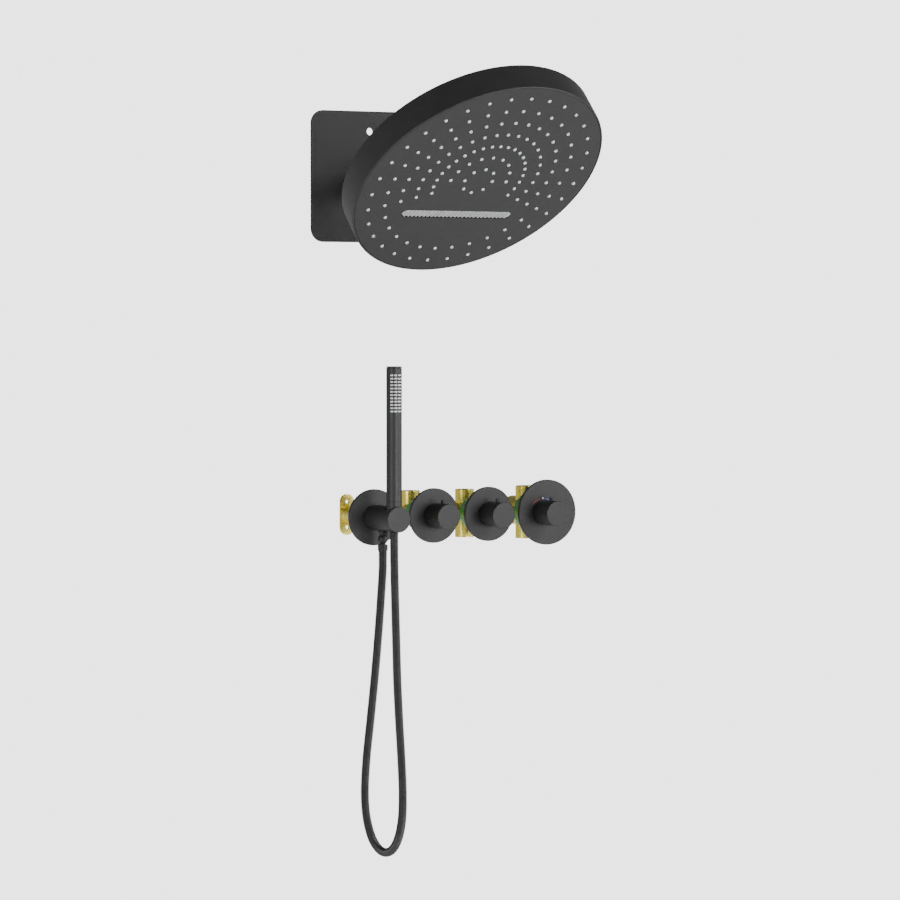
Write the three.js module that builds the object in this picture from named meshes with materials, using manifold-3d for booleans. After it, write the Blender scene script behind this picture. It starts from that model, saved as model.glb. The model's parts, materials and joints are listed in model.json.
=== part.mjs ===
// Wall-mounted rain and waterfall shower set: a swivelling head on a wall arm, two volume valves and a
// thermostat on a concealed brass manifold, and a stick hand shower in its holder with a hose.
// Millimetres. The set is drawn in a wall frame: X to the right, Y up, Z out of the wall into the room,
// with the wall's face at Z = 0. The outer group turns that frame so that +Z is up. The origin is the
// centre of the back face of the head's wall plate.
import * as THREE from 'three';
import { mergeVertices } from 'three/addons/utils/BufferGeometryUtils.js';
import Module from 'manifold-3d';

const wasm = await Module();
wasm.setup();

// ---------------------------------------------------------------- driving dimensions
const gap = 0.3; // clearance left between pieces that touch
const overlap = 1; // how far a cutting or joined solid reaches into its neighbour
const degree = Math.PI / 180;

// Head wall plate
const plateSide = 185;
const plateThickness = 3.5;
const plateCorner = 19;
const plateHoleRadius = 5.2;
const plateHoleHeight = 64;

// Arm and its supply
const inletSpread = 16;
const inletRadius = 8;
const inletBore = 5.5;
const inletReach = 32; // how far an inlet stands behind the wall plate
const inletSeat = 7; // how deep an inlet sits in the arm base
const armBaseRadius = 27;
const armBaseDepth = 20;
const armSocketDepth = 8;
const armRadius = 14;
const armWall = 2;
const armKneeOut = 34; // where the arm starts to rise, measured out from the wall
const armKneeBend = 60;
const armDropBend = 26;
const armDropAngle = 45 * degree;
const armDropStraight = 8; // straight length between the last bend and the arm's end
const supplyRadius = 4.8;
const supplyWall = 1.2;
const supplySpread = 5.6;

// Ball joint, with its centre at the ball
const ballHeight = 26.6;
const ballOut = 275.1;
const ballRadius = 18;
const studRadius = 7;
const studBore = 4.5;
const studCollarStart = 25.6;
const studCollarEnd = 30;
const unionNutRadius = 18;
const unionNutStart = 22;
const unionNutEnd = 38;
const seatClear = 0.7;
const seatWall = 2;
const seatLow = -60; // latitudes of the seat's ends, in degrees
const seatHigh = -6;
const gasketLow = 1;
const socketWall = 4.4;
const socketMouth = 9;
const socketFlangeWidth = 14;
const socketFlangeThickness = 3.4;
const capNutWall = 4.7;
const capNutTop = 11;
const capNutChamfer = 2;
const capLipDepth = 4.6;

// Head, square to its own axis, with y = 0 at the ball's centre
const headYaw = 6.3 * degree;
const headTilt = 40.8 * degree;
const headRadius = 181;
const headDepth = 41.5;
const headBack = -14; // outer back face below the ball's centre
const headWall = 2;
const headEdge = 1.2;
const facePlateThickness = 3;
const faceRimWidth = 2.4;
const faceLedge = 6;
const faceLedgeDepth = 2.7;
const matThickness = 2;
const nozzleRadius = 2.4;
const nozzleProud = 1;
const nozzleSides = 4;
const nozzleStep = 11.25 * degree;
const chamberWall = 2.5;
const chamberHeight = 13;
const chamberInset = 2.7;
const dividerRadius = 25;
const dividerHeight = 4.4;
const feedRadius = 2;
const feedOffset = 12;

// Waterfall slot in the face, measured from the face's centre along the head's own z
const slotCentre = -67.1;
const slotHalfLength = 89;
const slotHalfWidth = 6.6;
const spoutProud = 0.5;
const spoutHeight = 6;
const spoutCells = 27;
const spoutCellWidth = 4.2;
const spoutRim = 1.4;
const boxWall = 2;
const boxHeight = 22;

// The row of controls under the head
const rowHeight = -482;
const trimThickness = 5;
const trimEdge = 0.6;
const trimRecess = 3; // depth of the hollow that takes the guard sleeve's end
const trimRecessClear = 1;

// Valves
const valvePitch = 89.6;
const firstValveX = 102.8;
const valvePlateRadius = 39.25;
const thermostatPlateRadius = 47.5;
const thermostatPlateShift = 7.9; // the large plate sits off the thermostat's axis
const knobRadius = 18.25;
const knobLength = 35.5;
const knobBaseRadius = 17.3;
const knobBaseLength = 8; // the collar on the trim plate that the knob turns against
const pinRadius = 3.2;
const pinStand = 5; // how far the pin stands above the knob
const pinSeat = 4;
const pinSetback = 18.5; // from the knob's front face
const spindleRadius = 4;
const spindleIntoKnob = 22;
const spindleIntoCartridge = 14;
const trimHoleRadius = 9;
const manifoldDepth = 69; // centre of the brass tubes behind the wall's face
const thermostatTubeDepth = 48;
const manifoldTubeRadius = 13.8;
const manifoldLinkRadius = 13;
const manifoldBore = 9.4;
const housingRadius = 17.3;
const thermostatHousingRadius = 21;
const housingFront = -14;
const housingBack = -85;
const cartridgeRadius = 13;
const cartridgeLength = 36;
const cartridgeNutLength = 8.7;
const cartridgeNutHole = 6;
const guardWall = 2;
const guardRadius = 23;
const thermostatGuardRadius = 27;
const guardBack = -43.5;

// Hand shower outlet and holder
const outletX = 6.2;
const outletPlateRadius = 40;
const holderRadius = 18;
const holderFront = 79;
const wandOut = 64;
const wandRadius = 11;
const linerWall = 1.7;
const linerTop = 13;
const linerStep = 9; // radius of the hole left for the hose
const nippleRadius = 7.9;
const nippleBore = 5.5;
const nippleBack = -42;
const nippleFront = 18;
const connectorRadius = 11;
const connectorFront = -20;
const lugBack = -84;
const lugThickness = 4;
const lugWidth = 13.6;
const lugHeight = 59;
const lugHole = 2.6;
const supplyStep = 2; // how much narrower the supply's hole is than the nipple
const hoseOut = 29.6;
const hoseSpigotRadius = 5;
const hoseSpigotTop = -12; // heights of the outlet are from the row's centre line
const hoseNeckRadius = 4.4;
const hoseThreadRadius = 4;
const hoseBallRadius = 7.2;
const hoseBallHeight = -29.6;
const hoseBallLatitude = 50; // where the neck meets the ball, in degrees
const hoseThreadStart = 5.76; // below the ball's centre
const hoseOutletBore = 2.8;
const hoseNutRadius = 7.1;
const hoseNutTop = -37.2;
const hoseNutLength = 9.4;
const hoseNutStep = 0.8;
const stopBossRadius = 2.6;
const stopBossFront = 43;
const stopBossSeat = 2;

// Wand and hose
const wandTopRise = 215; // above the row's centre line
const wandBottomRise = 25.4;
const wandTop = rowHeight + wandTopRise;
const wandBottom = rowHeight + wandBottomRise;
const wandWall = 1.8;
const wandCapHeight = 2.2;
const wandCapPlug = 5;
const sprayRows = 12;
const sprayColumns = 4;
const sprayPitch = 4.6;
const sprayFirst = 12.5;
const wandSides = 12; // the spray columns stand on the flats of this outline
const sprayColumnAngle = (2 * Math.PI) / wandSides;
const sprayWidth = 4.4;
const sprayHeight = 2.3;
const sprayProud = 0.4;
const sprayLinerWall = 1.5;
const wandInletThread = 8;
const wandInletDrop = 13.4;
const wandInletRise = 12;
const wandInletBore = 4.5;
const checkValveLength = 9;
const washerThickness = 2;
const hoseFlangeThickness = 2.4;
const hoseFerruleLength = 6;
const hoseEndBore = 3;
const coneNutStraightEnd = -4; // heights of the cone nut are from the row's centre line
const coneNutEnd = -11.4;
const coneNutTipRadius = 7.5;
const hoseRadius = 5.9;
const hoseClear = 0.4;
const hoseSteps = 44;
const hair = 0.01; // keeps two arcs of an outline from meeting

// Sides of the round outlines
const headSides = 40;
const chamberSides = 28;
const plateSides = 28;
const knobSides = 24;
const ballSides = 16;
const tubeSides = 16;
const pipeSides = 12;
const smallSides = 8;

// ---------------------------------------------------------------- geometry helpers

/** Signed volume of an indexed geometry: positive when its faces point out. */
function signedVolume(geometry) {
  const position = geometry.getAttribute('position');
  const index = geometry.index.array;
  const [a, b, c] = [new THREE.Vector3(), new THREE.Vector3(), new THREE.Vector3()];
  let sum = 0;
  for (let i = 0; i < index.length; i += 3) {
    a.fromBufferAttribute(position, index[i]);
    b.fromBufferAttribute(position, index[i + 1]);
    c.fromBufferAttribute(position, index[i + 2]);
    sum += a.dot(b.cross(c));
  }
  return sum / 6;
}

/** The same surface with shared vertices merged, empty triangles dropped and its faces pointing out. */
function closed(geometry) {
  const bare = new THREE.BufferGeometry();
  bare.setAttribute('position', geometry.getAttribute('position').clone());
  if (geometry.index) bare.setIndex(geometry.index.clone());
  const merged = mergeVertices(bare, 1e-3);
  const index = merged.index.array;
  const kept = [];
  for (let i = 0; i < index.length; i += 3) {
    const [a, b, c] = [index[i], index[i + 1], index[i + 2]];
    if (a !== b && b !== c && c !== a) kept.push(a, b, c);
  }
  merged.setIndex(kept);
  if (signedVolume(merged) < 0) {
    for (let i = 0; i < kept.length; i += 3) [kept[i], kept[i + 1]] = [kept[i + 1], kept[i]];
    merged.setIndex(kept);
  }
  return merged;
}

/** A geometry as a solid that can be joined and cut. */
function solidOf(geometry) {
  const shell = closed(geometry);
  return new wasm.Manifold(new wasm.Mesh({
    numProp: 3,
    vertProperties: new Float32Array(shell.getAttribute('position').array),
    triVerts: new Uint32Array(shell.index.array),
  }));
}

/** A solid as a geometry. */
function geometryOf(solid) {
  const mesh = solid.getMesh();
  const geometry = new THREE.BufferGeometry();
  geometry.setAttribute('position', new THREE.BufferAttribute(new Float32Array(mesh.vertProperties), 3));
  geometry.setIndex(Array.from(mesh.triVerts));
  return geometry;
}

/** The first geometry joined with the others. */
function joined(first, ...others) {
  return geometryOf(others.reduce((solid, other) => solid.add(solidOf(other)), solidOf(first)));
}

/** The first geometry with the others cut away. */
function cut(first, ...others) {
  return geometryOf(others.reduce((solid, other) => solid.subtract(solidOf(other)), solidOf(first)));
}

/** A profile of [radius, height] points turned about Y. */
function turned(profile, sides) {
  const points = profile.map(([radius, height]) => new THREE.Vector2(radius, height));
  const first = points[0];
  const last = points[points.length - 1];
  if (!first.equals(last) && (first.x > 0 || last.x > 0)) points.push(first.clone());
  return closed(new THREE.LatheGeometry(points, sides));
}

/** A profile of [radius, distance] points turned about Z, the direction out of the wall. */
function spun(profile, sides) {
  return turned(profile, sides).rotateX(Math.PI / 2);
}

/** A ring or tube about Y: outer and inner radius, lower and upper end. */
function ring(outer, inner, low, high, sides) {
  return turned([[inner, low], [outer, low], [outer, high], [inner, high]], sides);
}

/** A solid rod about Y. */
function rod(radius, low, high, sides) {
  return turned([[0, low], [radius, low], [radius, high], [0, high]], sides);
}

/** A solid rod about Z. */
function peg(radius, low, high, sides) {
  return rod(radius, low, high, sides).rotateX(Math.PI / 2);
}

/** A flat shape in X and Y made thick from z = low to z = high. */
function slab(shape, low, high, curveSegments = 12) {
  const depth = high - low;
  const geometry = new THREE.ExtrudeGeometry(shape, { depth, bevelEnabled: false, curveSegments });
  return closed(geometry.translate(0, 0, low));
}

/** A flat shape laid on X and Z, the shape's y along z, from y = low to y = high. */
function layer(shape, low, high, curveSegments = 12) {
  const depth = high - low;
  const geometry = new THREE.ExtrudeGeometry(shape, { depth, bevelEnabled: false, curveSegments });
  return closed(geometry.rotateX(Math.PI / 2).translate(0, high, 0));
}

/** Points of a regular outline with its corners on the same angles as a turned piece. */
function polygonPoints(radius, sides, x = 0, y = 0) {
  const points = [];
  for (let i = 0; i < sides; i += 1) {
    const angle = (i / sides) * 2 * Math.PI + Math.PI / 2;
    points.push(new THREE.Vector2(x + radius * Math.cos(angle), y + radius * Math.sin(angle)));
  }
  return points;
}

/** A rectangle with round corners, centred at x and y. */
function roundedRectangle(width, height, corner, x = 0, y = 0, Kind = THREE.Shape) {
  const [left, right] = [x - width / 2, x + width / 2];
  const [bottom, top] = [y - height / 2, y + height / 2];
  const shape = new Kind();
  shape.moveTo(left + corner, bottom);
  shape.lineTo(right - corner, bottom);
  shape.absarc(right - corner, bottom + corner, corner, -Math.PI / 2, 0);
  shape.lineTo(right, top - corner);
  shape.absarc(right - corner, top - corner, corner, 0, Math.PI / 2);
  shape.lineTo(left + corner, top);
  shape.absarc(left + corner, top - corner, corner, Math.PI / 2, Math.PI);
  shape.lineTo(left, bottom + corner);
  shape.absarc(left + corner, bottom + corner, corner, Math.PI, 1.5 * Math.PI);
  return shape;
}

/** An outline with straight sides and round ends around the waterfall slot, grown by a margin. */
function slotOutline(margin, Kind = THREE.Shape) {
  const halfWidth = slotHalfWidth + margin;
  const reach = slotHalfLength + margin - halfWidth;
  const shape = new Kind();
  shape.moveTo(-reach, slotCentre - halfWidth);
  shape.lineTo(reach, slotCentre - halfWidth);
  shape.absarc(reach, slotCentre, halfWidth, -Math.PI / 2, Math.PI / 2);
  shape.lineTo(-reach, slotCentre + halfWidth);
  shape.absarc(-reach, slotCentre, halfWidth, Math.PI / 2, 1.5 * Math.PI);
  return shape;
}

/** A route through fixed points, with one ring of a tube at each of them. */
class Route extends THREE.Curve {
  constructor(points) {
    super();
    this.points = points;
  }

  getPoint(t, target = new THREE.Vector3()) {
    const place = Math.min(Math.max(t, 0), 1) * (this.points.length - 1);
    const start = Math.min(Math.floor(place), this.points.length - 2);
    return target.lerpVectors(this.points[start], this.points[start + 1], place - start);
  }

  getUtoTmapping(u) {
    return u;
  }
}

/** A tube or rod of round section along a route. */
function piped(points, radius, bore, sides) {
  const section = new THREE.Shape(polygonPoints(radius, sides));
  if (bore > 0) section.holes.push(new THREE.Path(polygonPoints(bore, sides)));
  const route = new Route(points);
  return closed(new THREE.ExtrudeGeometry(section, {
    steps: points.length - 1,
    bevelEnabled: false,
    extrudePath: route,
  }));
}

/** Heights and distances along an arm drawn as straight lines with round bends at its corners. */
function bentRoute(corners, bends, steps) {
  const points = [corners[0].clone()];
  for (let i = 1; i < corners.length - 1; i += 1) {
    const before = corners[i - 1].clone().sub(corners[i]).normalize();
    const after = corners[i + 1].clone().sub(corners[i]).normalize();
    const half = before.angleTo(after) / 2;
    const bend = bends[i - 1];
    const middle = before.clone().add(after).normalize();
    const centre = corners[i].clone().addScaledVector(middle, bend / Math.sin(half));
    const start = corners[i].clone().addScaledVector(before, bend / Math.tan(half)).sub(centre);
    const end = corners[i].clone().addScaledVector(after, bend / Math.tan(half)).sub(centre);
    const sweep = start.angleTo(end);
    for (let j = 0; j <= steps; j += 1) {
      const share = j / steps;
      const arm = start.clone().multiplyScalar(Math.sin((1 - share) * sweep));
      arm.addScaledVector(end, Math.sin(share * sweep)).divideScalar(Math.sin(sweep));
      points.push(centre.clone().add(arm));
    }
  }
  points.push(corners[corners.length - 1].clone());
  return points;
}

// ---------------------------------------------------------------- finishes

const finishes = {
  black: new THREE.MeshStandardMaterial({ color: 0x2b2c2d, roughness: 0.55, metalness: 0.3 }),
  brass: new THREE.MeshStandardMaterial({ color: 0xd8c37a, roughness: 0.25, metalness: 1 }),
  guard: new THREE.MeshStandardMaterial({ color: 0x4b822d, roughness: 0.35, metalness: 0 }),
  silicone: new THREE.MeshStandardMaterial({ color: 0xb9bbbd, roughness: 0.6, metalness: 0 }),
  rubber: new THREE.MeshStandardMaterial({ color: 0x17181a, roughness: 0.8, metalness: 0 }),
  plastic: new THREE.MeshStandardMaterial({ color: 0x3a3b3d, roughness: 0.6, metalness: 0 }),
  steel: new THREE.MeshStandardMaterial({ color: 0xa9adb2, roughness: 0.3, metalness: 1 }),
};

/** A named piece. */
function piece(name, geometry, finish) {
  const mesh = new THREE.Mesh(geometry, finishes[finish]);
  mesh.name = name;
  return mesh;
}

/** A group placed at x, y and z. */
function placed(x, y, z, ...children) {
  const group = new THREE.Group();
  group.position.set(x, y, z);
  group.add(...children);
  return group;
}

// ---------------------------------------------------------------- wall plate, inlets and arm

function wallPlate() {
  const shape = roundedRectangle(plateSide, plateSide, plateCorner);
  for (const height of [plateHoleHeight, -plateHoleHeight]) {
    shape.holes.push(new THREE.Path(polygonPoints(plateHoleRadius, pipeSides, 0, height)));
  }
  for (const side of [-inletSpread, inletSpread]) {
    shape.holes.push(new THREE.Path(polygonPoints(inletRadius + gap, pipeSides, side, 0)));
  }
  return piece('head_wall_plate', slab(shape, 0, plateThickness, 6), 'black');
}

const armBaseBack = plateThickness + gap;
const armBaseFront = armBaseBack + armBaseDepth;
const inletFront = armBaseBack + inletSeat;
const armSocketFloor = armBaseFront - armSocketDepth;

function inlet(name, side) {
  const profile = [[inletBore, -inletReach], [inletRadius, -inletReach], [inletRadius, inletFront],
    [inletBore, inletFront]];
  return placed(side, 0, 0, piece(name, spun(profile, pipeSides), 'brass'));
}

function armBase() {
  const body = spun([[0, armBaseBack], [armBaseRadius, armBaseBack],
    [armBaseRadius, armBaseFront - trimEdge], [armBaseRadius - trimEdge, armBaseFront],
    [0, armBaseFront]], knobSides);
  const socket = peg(armRadius + gap, armSocketFloor, armBaseFront + overlap, tubeSides);
  const cuts = [socket];
  for (const side of [-1, 1]) {
    const seat = peg(inletRadius + gap, armBaseBack - overlap, inletFront + gap, pipeSides);
    cuts.push(seat.translate(side * inletSpread, 0, 0));
    const passage = peg(supplyRadius + gap, inletFront - overlap, armSocketFloor + overlap, pipeSides);
    cuts.push(passage.translate(side * supplySpread, 0, 0));
  }
  return piece('arm_base', cut(body, ...cuts), 'black');
}

// The arm leaves the wall square, rises to a bend above the ball and drops at the ball joint's angle.
const ballCentre = new THREE.Vector3(0, ballHeight, ballOut);
const studDirection = new THREE.Vector3(0, Math.sin(armDropAngle), -Math.cos(armDropAngle));
const armEnd = ballCentre.clone().addScaledVector(studDirection, studCollarEnd + gap);
const armKnee = new THREE.Vector3(0, 0, armKneeOut);

/** The arm's upper corner, set so that its last bend ends a straight length before the arm's end. */
function armCorner() {
  const corner = new THREE.Vector3();
  let reach = armDropBend;
  for (let i = 0; i < 12; i += 1) {
    corner.copy(armEnd).addScaledVector(studDirection, armDropStraight + reach);
    const legs = studDirection.angleTo(corner.clone().sub(armKnee));
    reach = armDropBend / Math.tan(legs / 2);
  }
  return corner;
}

/** The arm's centre line from a distance out of the wall to its end. */
function armRoute(start, steps) {
  const corners = [new THREE.Vector3(0, 0, start), armKnee, armCorner(), armEnd];
  return bentRoute(corners, [armKneeBend, armDropBend], steps);
}

function arm() {
  const tube = piped(armRoute(armSocketFloor + gap, 4), armRadius, armRadius - armWall, pipeSides);
  return piece('arm_tube', tube, 'black');
}

/** A supply pipe inside the arm, beside its centre line. */
function supplyPipe(name, side) {
  const pipe = piped(armRoute(inletFront + gap, 3), supplyRadius, supplyRadius - supplyWall, 6);
  return placed(side, 0, 0, piece(name, pipe, 'brass'));
}

// ---------------------------------------------------------------- ball joint

function swivelBall() {
  const profile = [];
  const steps = 8;
  const neckAngle = Math.asin(studRadius / ballRadius);
  const boreAngle = Math.asin(studBore / ballRadius);
  for (let i = 0; i <= steps; i += 1) {
    const angle = boreAngle + (i / steps) * (Math.PI - neckAngle - boreAngle);
    profile.push([ballRadius * Math.sin(angle), -ballRadius * Math.cos(angle)]);
  }
  profile.push([studRadius, studCollarStart], [armRadius, studCollarStart]);
  profile.push([armRadius, studCollarEnd], [studBore, studCollarEnd]);
  return piece('swivel_ball', turned(profile, ballSides), 'steel');
}

function unionNut() {
  const lip = studCollarStart - gap;
  const profile = [[studRadius + gap, unionNutStart], [unionNutRadius, unionNutStart],
    [unionNutRadius, unionNutEnd], [armRadius + gap, unionNutEnd], [armRadius + gap, lip],
    [studRadius + gap, lip]];
  return piece('arm_union_nut', turned(profile, ballSides), 'black');
}

const seatInner = ballRadius + seatClear;
const seatOuter = seatInner + seatWall;
const socketInner = seatOuter + gap;
const socketOuter = socketInner + socketWall;
const socketTop = capNutTop - capLipDepth;

/** Points along a circle about the ball's centre, from one latitude to another. */
function latitudes(radius, from, to, steps) {
  const points = [];
  for (let i = 0; i <= steps; i += 1) {
    const latitude = (from + ((to - from) * i) / steps) * degree;
    points.push([radius * Math.cos(latitude), radius * Math.sin(latitude)]);
  }
  return points;
}

function ballSeat() {
  const outside = latitudes(seatOuter, seatLow, seatHigh, 4);
  const profile = [...outside, ...latitudes(seatInner, seatHigh, seatLow, 4)];
  return piece('ball_seat', turned(profile, ballSides), 'plastic');
}

function ballGasket() {
  return piece('ball_gasket', ring(seatOuter, seatInner, gasketLow, socketTop - gap, ballSides), 'rubber');
}

function capNut() {
  const innerThread = socketOuter + gap;
  const outer = innerThread + capNutWall;
  const lipLow = socketTop + gap;
  const lip = (height) => Math.sqrt((ballRadius + 2 * gap) ** 2 - height ** 2);
  const lipStep = lipLow + capNutChamfer;
  const profile = [[innerThread, headBack + gap], [outer, headBack + gap], [outer, capNutTop - capNutChamfer],
    [outer - capNutChamfer, capNutTop], [lip(capNutTop), capNutTop], [lip(lipStep), lipStep],
    [lip(lipLow), lipLow], [innerThread, lipLow]];
  return piece('ball_cap_nut', turned(profile, ballSides), 'black');
}

function ballSocket() {
  const flange = headBack - headWall - gap;
  const flangeRadius = socketOuter + socketFlangeWidth;
  const flangeLow = flange - socketFlangeThickness;
  const start = -Math.acos(socketMouth / socketInner) / degree;
  const bottom = dividerLow + dividerHeight + gap;
  const profile = [[socketMouth, bottom], [socketOuter, bottom], [socketOuter, flangeLow],
    [flangeRadius, flangeLow], [flangeRadius, flange], [socketOuter, flange],
    [socketOuter, socketTop], [socketInner, socketTop], ...latitudes(socketInner, 0, start, 4)];
  return piece('ball_socket', turned(profile, ballSides), 'brass');
}

// ---------------------------------------------------------------- head

const headFront = headBack - headDepth;
const faceRadius = headRadius - faceRimWidth - gap;
const faceTop = headFront + facePlateThickness;
const ledgeLow = faceTop + gap;
const ledgeRadius = headRadius - faceRimWidth - faceLedge;
const matTop = ledgeLow + matThickness;
const matRadius = ledgeRadius - gap;
const chamberBottom = matTop + gap;
const chamberTop = chamberBottom + chamberHeight;
const chamberRadius = matRadius - chamberInset;
const boxOuterMargin = gap + boxWall;

function backShell() {
  const [outer, inner] = [headRadius, headRadius - headWall];
  const under = headBack - headWall;
  const ledgeTop = ledgeLow + faceLedgeDepth;
  const profile = [[socketOuter + gap, under], [socketOuter + gap, headBack], [outer - headEdge, headBack],
    [outer, headBack - headEdge], [outer, headFront + headEdge], [outer - headEdge / 2, headFront],
    [faceRadius + gap, headFront], [faceRadius + gap, ledgeLow], [ledgeRadius, ledgeLow],
    [ledgeRadius, ledgeTop], [inner, ledgeTop + (inner - ledgeRadius) / 2], [inner, under]];
  return piece('head_back_shell', turned(profile, headSides), 'black');
}

// Each ring of nozzles: its radius, and the first and last nozzle, counted in steps from the head's x axis.
const nozzleRings = [
  { radius: 22.6, first: 0, last: 28, every: 4 },
  { radius: 45.5, first: 0, last: 16, every: 2 },
  { radius: 67.7, first: -2, last: 18, every: 1 },
  { radius: 90.2, first: -2, last: 18, every: 1 },
  { radius: 112.7, first: -2, last: 18, every: 1 },
  { radius: 135.3, first: 0, last: 31, every: 1 },
  { radius: 159.2, first: 0, last: 31, every: 1 },
];

/** Where each rain nozzle stands on the face, in the head's x and z. */
function nozzlePlaces() {
  const places = [];
  for (const { radius, first, last, every } of nozzleRings) {
    for (let step = first; step <= last; step += every) {
      const angle = step * nozzleStep;
      places.push(new THREE.Vector2(radius * Math.cos(angle), radius * Math.sin(angle)));
    }
  }
  return places;
}

function facePlate() {
  const shape = new THREE.Shape(polygonPoints(faceRadius, headSides));
  shape.holes.push(slotOutline(gap, THREE.Path));
  for (const { x, y } of nozzlePlaces()) {
    shape.holes.push(new THREE.Path(polygonPoints(nozzleRadius + gap, nozzleSides, x, y)));
  }
  return piece('head_face_plate', layer(shape, headFront, faceTop, 4), 'black');
}

function nozzleMat() {
  const shape = new THREE.Shape(polygonPoints(matRadius, headSides));
  shape.holes.push(slotOutline(boxOuterMargin + gap, THREE.Path));
  let mat = solidOf(layer(shape, ledgeLow, matTop, 4));
  for (const { x, y } of nozzlePlaces()) {
    const nozzle = new THREE.Shape(polygonPoints(nozzleRadius, nozzleSides, x, y));
    mat = mat.add(solidOf(layer(nozzle, headFront - nozzleProud, ledgeLow + matThickness / 2)));
  }
  return piece('rain_nozzle_mat', geometryOf(mat), 'silicone');
}

function rainChamber() {
  const inner = boxOuterMargin + gap;
  const wallHeight = chamberHeight - chamberWall;
  const lid = new THREE.Shape(polygonPoints(chamberRadius, chamberSides));
  lid.holes.push(slotOutline(inner, THREE.Path));
  lid.holes.push(new THREE.Path(polygonPoints(socketMouth, ballSides)));
  const rim = new THREE.Shape(polygonPoints(chamberRadius, chamberSides));
  rim.holes.push(new THREE.Path(polygonPoints(chamberRadius - chamberWall, chamberSides)));
  const slotWall = slotOutline(inner + chamberWall);
  slotWall.holes.push(slotOutline(inner, THREE.Path));
  const wallTop = chamberBottom + wallHeight + overlap;
  const geometry = joined(
    layer(lid, chamberTop - chamberWall, chamberTop, 4),
    layer(rim, chamberBottom, wallTop, 4),
    layer(slotWall, chamberBottom, wallTop, 4),
  );
  return piece('rain_chamber', geometry, 'plastic');
}

const dividerLow = chamberTop + gap;
const feedHeight = dividerLow + dividerHeight / 2;

function waterfallBox() {
  const low = ledgeLow;
  const outer = layer(slotOutline(boxOuterMargin), low, low + boxHeight, 4);
  const hollow = layer(slotOutline(gap), low - overlap, low + boxHeight - boxWall, 4);
  const feed = peg(feedRadius + gap, -overlap, boxWall + 2 * overlap, smallSides);
  const feedFace = slotCentre + slotHalfWidth + boxOuterMargin - boxWall;
  feed.translate(feedOffset, feedHeight, feedFace - overlap);
  return piece('waterfall_box', cut(outer, hollow, feed), 'plastic');
}

function flowDivider() {
  const body = ring(dividerRadius, socketMouth, dividerLow, dividerLow + dividerHeight, ballSides);
  const feed = peg(feedRadius + gap, -dividerRadius - overlap, 0, smallSides);
  return piece('flow_divider', cut(body, feed.translate(feedOffset, feedHeight, 0)), 'plastic');
}

function waterfallFeed() {
  const from = slotCentre + slotHalfWidth + boxOuterMargin - boxWall / 2;
  const to = -Math.sqrt(dividerRadius ** 2 - feedOffset ** 2) + 3 * overlap;
  const tube = ring(feedRadius, feedRadius / 2, from, to, smallSides).rotateX(Math.PI / 2);
  return piece('waterfall_feed', tube.translate(feedOffset, feedHeight, 0), 'silicone');
}

function waterfallSpout() {
  const low = headFront - spoutProud;
  const pitch = (2 * (slotHalfLength - slotHalfWidth)) / (spoutCells - 1);
  const cellLength = 2 * (slotHalfWidth - spoutRim);
  const cells = [];
  for (let i = 0; i < spoutCells; i += 1) {
    const cell = new THREE.BoxGeometry(spoutCellWidth, spoutHeight + 2 * overlap, cellLength);
    const x = -slotHalfLength + slotHalfWidth + i * pitch;
    cells.push(cell.translate(x, low + spoutHeight / 2, slotCentre));
  }
  const bar = layer(slotOutline(0), low, low + spoutHeight, 4);
  return piece('waterfall_spout', cut(bar, ...cells), 'silicone');
}

/** The head and everything that swings with it, square to its own axis. */
function head() {
  const tilted = new THREE.Group();
  tilted.rotation.x = -headTilt;
  tilted.add(ballSeat(), ballGasket(), capNut(), ballSocket(), backShell(), facePlate(), nozzleMat());
  tilted.add(rainChamber(), waterfallBox(), flowDivider(), waterfallFeed(), waterfallSpout());
  const turnedHead = new THREE.Group();
  turnedHead.rotation.y = headYaw;
  turnedHead.add(tilted);
  return turnedHead;
}

/** The ball with its stud and nut, standing along the arm's end. */
function ballAndNut() {
  const group = new THREE.Group();
  group.rotation.x = -armDropAngle;
  group.add(swivelBall(), unionNut());
  return group;
}

// ---------------------------------------------------------------- concealed valves

const valveX = [0, 1, 2].map((i) => firstValveX + i * valvePitch);
const valves = [
  { name: 'valve_1', x: valveX[0], plate: valvePlateRadius, shift: 0, guard: guardRadius,
    housing: housingRadius, tube: manifoldDepth, up: 33, down: 0 },
  { name: 'valve_2', x: valveX[1], plate: valvePlateRadius, shift: 0, guard: guardRadius,
    housing: housingRadius, tube: manifoldDepth, up: 33, down: -37 },
  { name: 'thermostat', x: valveX[2], plate: thermostatPlateRadius, shift: thermostatPlateShift,
    guard: thermostatGuardRadius, housing: thermostatHousingRadius, tube: thermostatTubeDepth,
    up: 37, down: -40 },
];
const cartridgeFront = housingFront - 2;
const cartridgeBack = cartridgeFront - cartridgeLength;
const knobStart = trimThickness + knobBaseLength + gap;
const knobFront = knobStart + knobLength;

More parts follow.
